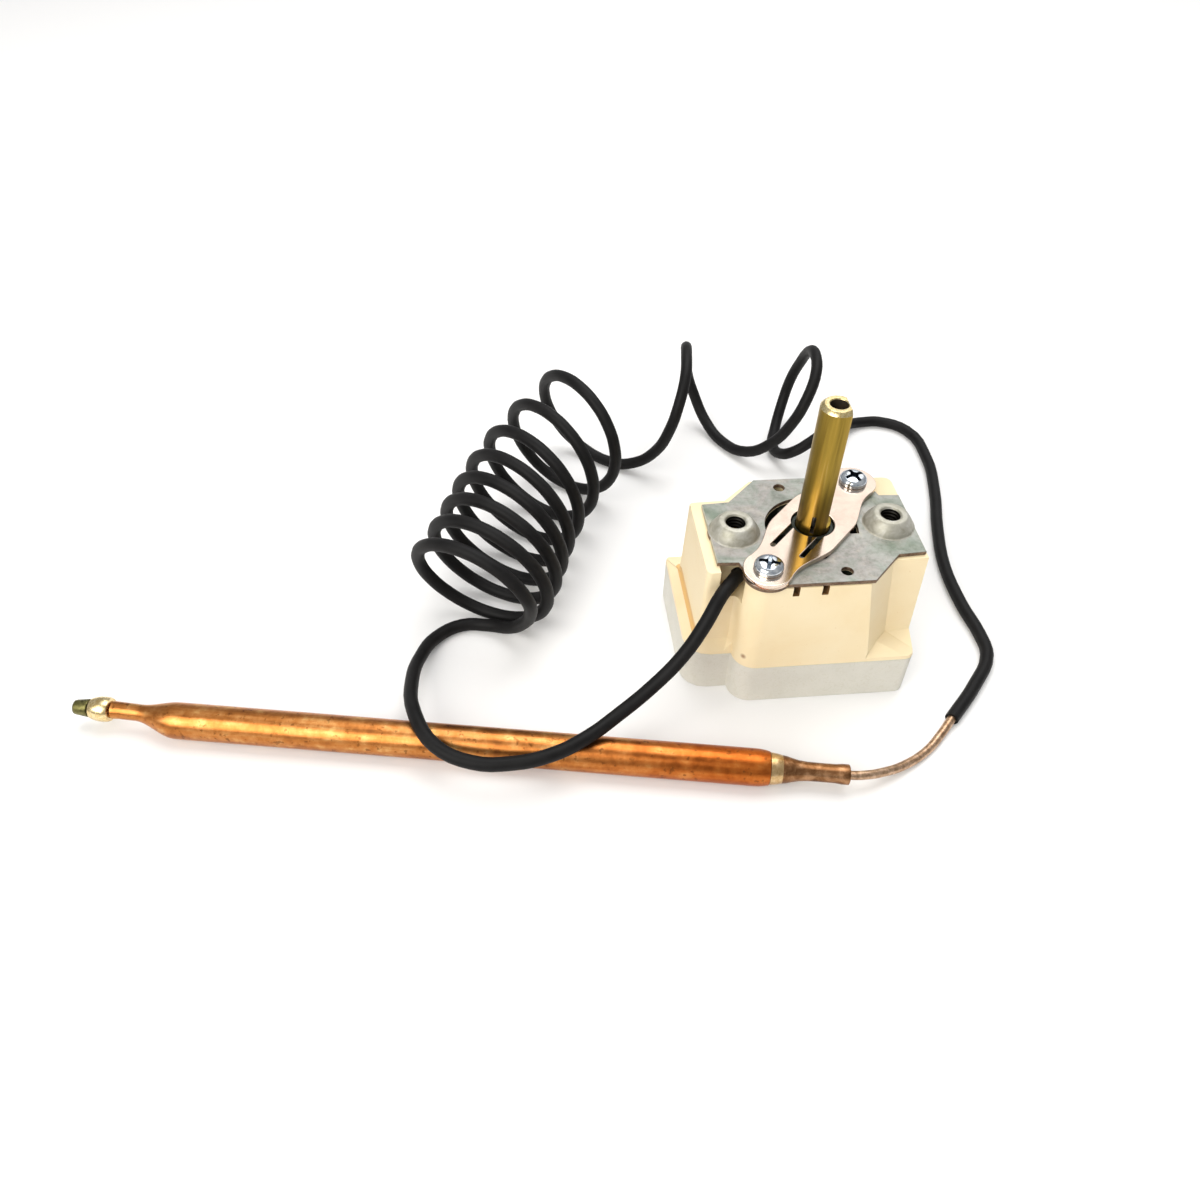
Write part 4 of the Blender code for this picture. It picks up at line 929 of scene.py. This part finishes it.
def makeShaft():
    # Drawn tube with a chamfered end, a long flat and a short slit at the foot
    s = shaft
    low = body["plateTop"] - s["seat"]
    top = body["plateTop"] + s["tall"]
    steps = [(s["radius"], low), (s["radius"], top - s["chamfer"]),
             (s["radius"] - s["chamfer"] * 0.7, top - 0.12 * mm), (s["radius"] - s["chamfer"], top),
             (s["bore"] + 0.15 * mm, top), (s["bore"], top - 0.15 * mm), (s["bore"], low), (s["radius"], low)]
    piece = turnedPiece(steps, s["sides"], ring=True)
    cleanMesh(piece)
    wide, turn = s["cutter"], s["flatTurn"]
    away = s["flat"] + wide / 2
    spot = (shaftX + away * math.cos(turn), away * math.sin(turn), top - s["flatLength"] / 2 + 1.0 * mm)
    cutWith(piece, cutterBox((wide, 3 * wide, s["flatLength"] + 2.0 * mm), spot, turn))
    turn = s["slitTurn"]
    slitTop = body["strapTop"] + s["slitTall"]
    away = s["radius"] + 0.4 * mm
    spot = (shaftX + away * math.cos(turn), away * math.sin(turn), body["strapTop"] + s["slitTall"] / 2)
    cutWith(piece, cutterBox((2 * s["radius"], s["slit"], s["slitTall"]), spot, turn))
    bevelEdges(piece, s["edge"], 30.0)
    finishPiece(piece, "shaft_dressed", "spindle",
                [finishes["drawnBrassTube"], finishes["freshCutBrassAndSheen"], finishes["paintedShadeBore"]], ("shaft",))

    def isInside(face):
        inBore = face.center.z < top - 0.12 * mm and reachOf(face) < s["bore"] + 0.05 * mm
        aside = abs((face.center.x - shaftX) * math.sin(turn) - face.center.y * math.cos(turn))
        inSlit = reachOf(face) < s["radius"] - 0.12 * mm and aside < s["slit"]
        return inBore or inSlit and face.center.z < slitTop + 0.1 * mm

    # the chamfer and end face get the paler brass, fresh cut and partly a painted highlight
    paintFaces(piece, 1, lambda face: face.center.z > top - s["chamfer"] - 0.02 * mm)
    # painted shade: the bore and the slit's walls get the near-black brown finish
    paintFaces(piece, 2, isInside)


hub = {"collar": 3.7 * mm, "sunk": 0.5 * mm, "step": 5.6 * mm, "flange": 7.0 * mm, "bore": 3.15 * mm,
       "stepTop": 29.2 * mm, "flangeTop": 27.0 * mm, "flangeLow": 25.5 * mm, "floor": 24.7 * mm,
       "low": 23.7 * mm, "neck": 3.6 * mm, "sides": 72, "lug": (1.6 * mm, 1.6 * mm, 1.3 * mm),
       "lugTurn": math.radians(100.0)}


def makeHub():
    # A flange with a stop lug, a step and a collar round the shaft
    h = hub
    top = body["strapTop"] - h["sunk"]
    steps = [(h["neck"], h["low"]), (h["neck"], h["flangeLow"]), (h["flange"] - 0.15 * mm, h["flangeLow"]),
             (h["flange"], h["flangeLow"] + 0.15 * mm), (h["flange"], h["flangeTop"] - 0.15 * mm),
             (h["flange"] - 0.15 * mm, h["flangeTop"]), (h["step"], h["flangeTop"]),
             (h["step"], h["stepTop"] - 0.2 * mm), (h["step"] - 0.2 * mm, h["stepTop"]),
             (h["collar"], h["stepTop"]), (h["collar"], top - 0.1 * mm), (h["collar"] - 0.1 * mm, top),
             (h["bore"], top), (h["bore"], h["floor"]), (0.0, h["floor"])]
    piece = turnedPiece(steps, h["sides"])
    turn = h["lugTurn"]
    spot = (shaftX + h["flange"] * math.cos(turn), h["flange"] * math.sin(turn),
            (h["flangeLow"] + h["flangeTop"]) / 2)
    cutWith(piece, cutterBox(h["lug"], spot, turn), 'UNION')
    finishPiece(piece, "spindle_hub_dressed", "spindle", [finishes["phosphatedSteel"]],
                ("spindle_hub",))


makeShaft()
makeHub()
print("shaft and hub made")


# Sensing bulb, with its profiles in mm as radius and place along the axis

bulb = {
    "sides": 64, "angle": 40.0,
    "neck": [(1.60, 0.0), (1.72, 0.06), (1.76, 0.2), (1.75, 1.3), (1.63, 2.3), (1.62, 5.0), (1.66, 7.2),
             (1.80, 8.6), (2.05, 9.7), (2.32, 10.7), (2.45, 11.5)],
    "ring": [(2.42, 11.5), (2.50, 11.8), (2.62, 12.2), (2.70, 12.75), (2.76, 13.2), (2.80, 13.6)],
    "shoulder": [(2.75, 13.6), (2.92, 13.72), (3.10, 14.5), (3.21, 15.4), (3.25, 16.2)],
    "middleSteps": 8,
    "taperStart": 117.8 * mm, "taper": 7.4 * mm, "taperSteps": 14, "end": 129.6 * mm,
    "radius": 3.25 * mm, "waist": 1.5 * mm,
    "gap": 0.3 * mm,
    "braze": [(1.66, 0.0), (2.0, 0.15), (2.2, 0.6), (2.25, 1.48), (2.2, 2.22), (2.0, 3.1), (1.8, 3.6),
              (1.55, 3.7)],
    "tail": [(1.55, 0.0), (1.62, 0.1), (1.55, 0.81), (1.42, 1.62), (1.34, 2.295), (1.25, 2.6), (1.1, 2.7)],
    "tailStart": 133.9 * mm,
    # the crimped end sits a little above the bulb's axis, and towards its back
    "rise": 0.70 * mm, "riseLong": 9.6 * mm,
}


def inPlace(profile, start=0.0):
    return [(radius * mm, start + along * mm) for radius, along in profile]


def tubeProfile():
    # The bulb's long tube: a shoulder, an even middle and a taper down to the crimped waist
    b = bulb
    profile = inPlace(b["shoulder"])
    first = profile[-1][1]
    for i in range(1, b["middleSteps"] + 1):
        profile.append((b["radius"], first + (b["taperStart"] - first) * i / b["middleSteps"]))
    for i in range(1, b["taperSteps"] + 1):
        t = i / b["taperSteps"]
        ease = t * t * (3 - 2 * t)
        profile.append((b["radius"] + (b["waist"] - b["radius"]) * ease, b["taperStart"] + b["taper"] * t))
    return profile + [(b["waist"] + 0.02 * mm, b["end"] - 1.2 * mm), (b["waist"] + 0.1 * mm, b["end"])]


def makeOnBulb(nodeName, profile, finishName):
    # Turned upright on the shaft's line, then laid down on the bulb's axis
    piece = turnedPiece(profile, bulb["sides"])
    onlySelect(piece)
    bpy.ops.object.transform_apply(location=True, rotation=True, scale=True)
    for vertex in piece.data.vertices:
        part = min(max((vertex.co.z - bulb["taperStart"]) / bulb["riseLong"], 0.0), 1.0)
        shift = bulb["rise"] * part * part * (3 - 2 * part)
        vertex.co.x -= shift
        vertex.co.y -= shift
    stand = Matrix.Translation((-shaftX, 0.0, 0.0))
    lay = (Matrix.Translation((shaftX + body["bulbEnd"][0], body["bulbEnd"][1], body["bulbHeight"]))
           @ Matrix.Rotation(body["bulbTurn"], 4, 'Z') @ Matrix.Rotation(math.radians(90.0), 4, 'Y'))
    piece.matrix_world = lay @ stand
    finishPiece(piece, nodeName + "_dressed", "switch_body", [finishes[finishName]],
                (nodeName,), bulb["angle"])


makeOnBulb("bulb_neck", inPlace(bulb["neck"]), "heatTintedCopper")
makeOnBulb("bulb_ring", inPlace(bulb["ring"]), "silverBrazeRing")
makeOnBulb("bulb", tubeProfile(), "drawnCopperTube")
makeOnBulb("bulb_braze", inPlace(bulb["braze"], bulb["end"] + bulb["gap"]), "brassFiller")
makeOnBulb("bulb_tail", inPlace(bulb["tail"], bulb["tailStart"]), "tarnishedFiller")
print("bulb made")


# Capillary dressed and hung on its body

finishPiece(sleevedCapillary, "capillary_sleeved", "switch_body", [finishes["sleeve"]],
            ("capillary_lead", "capillary_coil", "capillary_run"))
finishPiece(bareCapillary, "capillary_bare", "switch_body",
            [finishes["dulledCopperCapillary"]], ("capillary_bare_end",))


# Floor, light and view

def makeFloor():
    # White paper, large enough to run out of the picture
    deselectAll()
    bpy.ops.mesh.primitive_plane_add(size=6.0, location=(0.0, 0.0, 0.0))
    floor = bpy.context.object
    floor.name = "floor"
    finish, tree, shader = newMaterial("whitePaperSweep")[:3]
    setInputs(tree, shader, {"Base Color": linear("#E9E8E7"), "Roughness": 0.9, "Specular IOR Level": 0.1,
                             "Emission Color": linear("#FFFFFF"), "Emission Strength": 0.10})
    putMaterials(floor, [finish])


def makeLights():
    # Each lamp by its place, what it points at, its size, its power and its colour
    lamps = {"leftWindow": ((-0.42, -0.36, 0.42), (0.0, 0.0, 0.0), 0.50, 3.6, "#FFFDF8"),
             "topPanel": ((0.06, 0.26, 0.76), (0.0, 0.02, 0.0), 0.60, 4.1, "#FFFFFF"),
             "backCard": ((0.37, 0.60, 0.58), (0.0, 0.0, 0.03), 0.55, 0.9, "#FFFFFF")}
    for name, (spot, aim, size, power, shade) in lamps.items():
        deselectAll()
        bpy.ops.object.light_add(type='AREA', location=spot)
        lamp = bpy.context.object
        lamp.name = name
        lamp.data.size = size
        lamp.data.energy = power
        lamp.data.color = linear(shade)[:3]
        lamp.rotation_euler = (Vector(aim) - Vector(spot)).to_track_quat('-Z', 'Y').to_euler()


def makeWorld():
    # Even white all round, a little dimmer low down
    world = bpy.data.worlds.new("whiteStudio")
    bpy.context.scene.world = world
    world.use_nodes = True
    tree = world.node_tree
    where = addNode(tree, "ShaderNodeTexCoord").outputs["Generated"]
    height = addNode(tree, "ShaderNodeSeparateXYZ", inputs={"Vector": where}).outputs["Z"]
    tone = rampNode(tree, height, [(0.0, "#C9CBD0"), (0.35, "#F0F1F2"), (0.8, "#FFFFFF")])
    setInputs(tree, tree.nodes["Background"], {"Color": tone, "Strength": 0.48})


makeFloor()
makeLights()
makeWorld()
view = bpy.context.scene.view_settings
view.view_transform = 'Standard'
view.look = 'None'
view.exposure = 0.0
print("floor and lights placed")
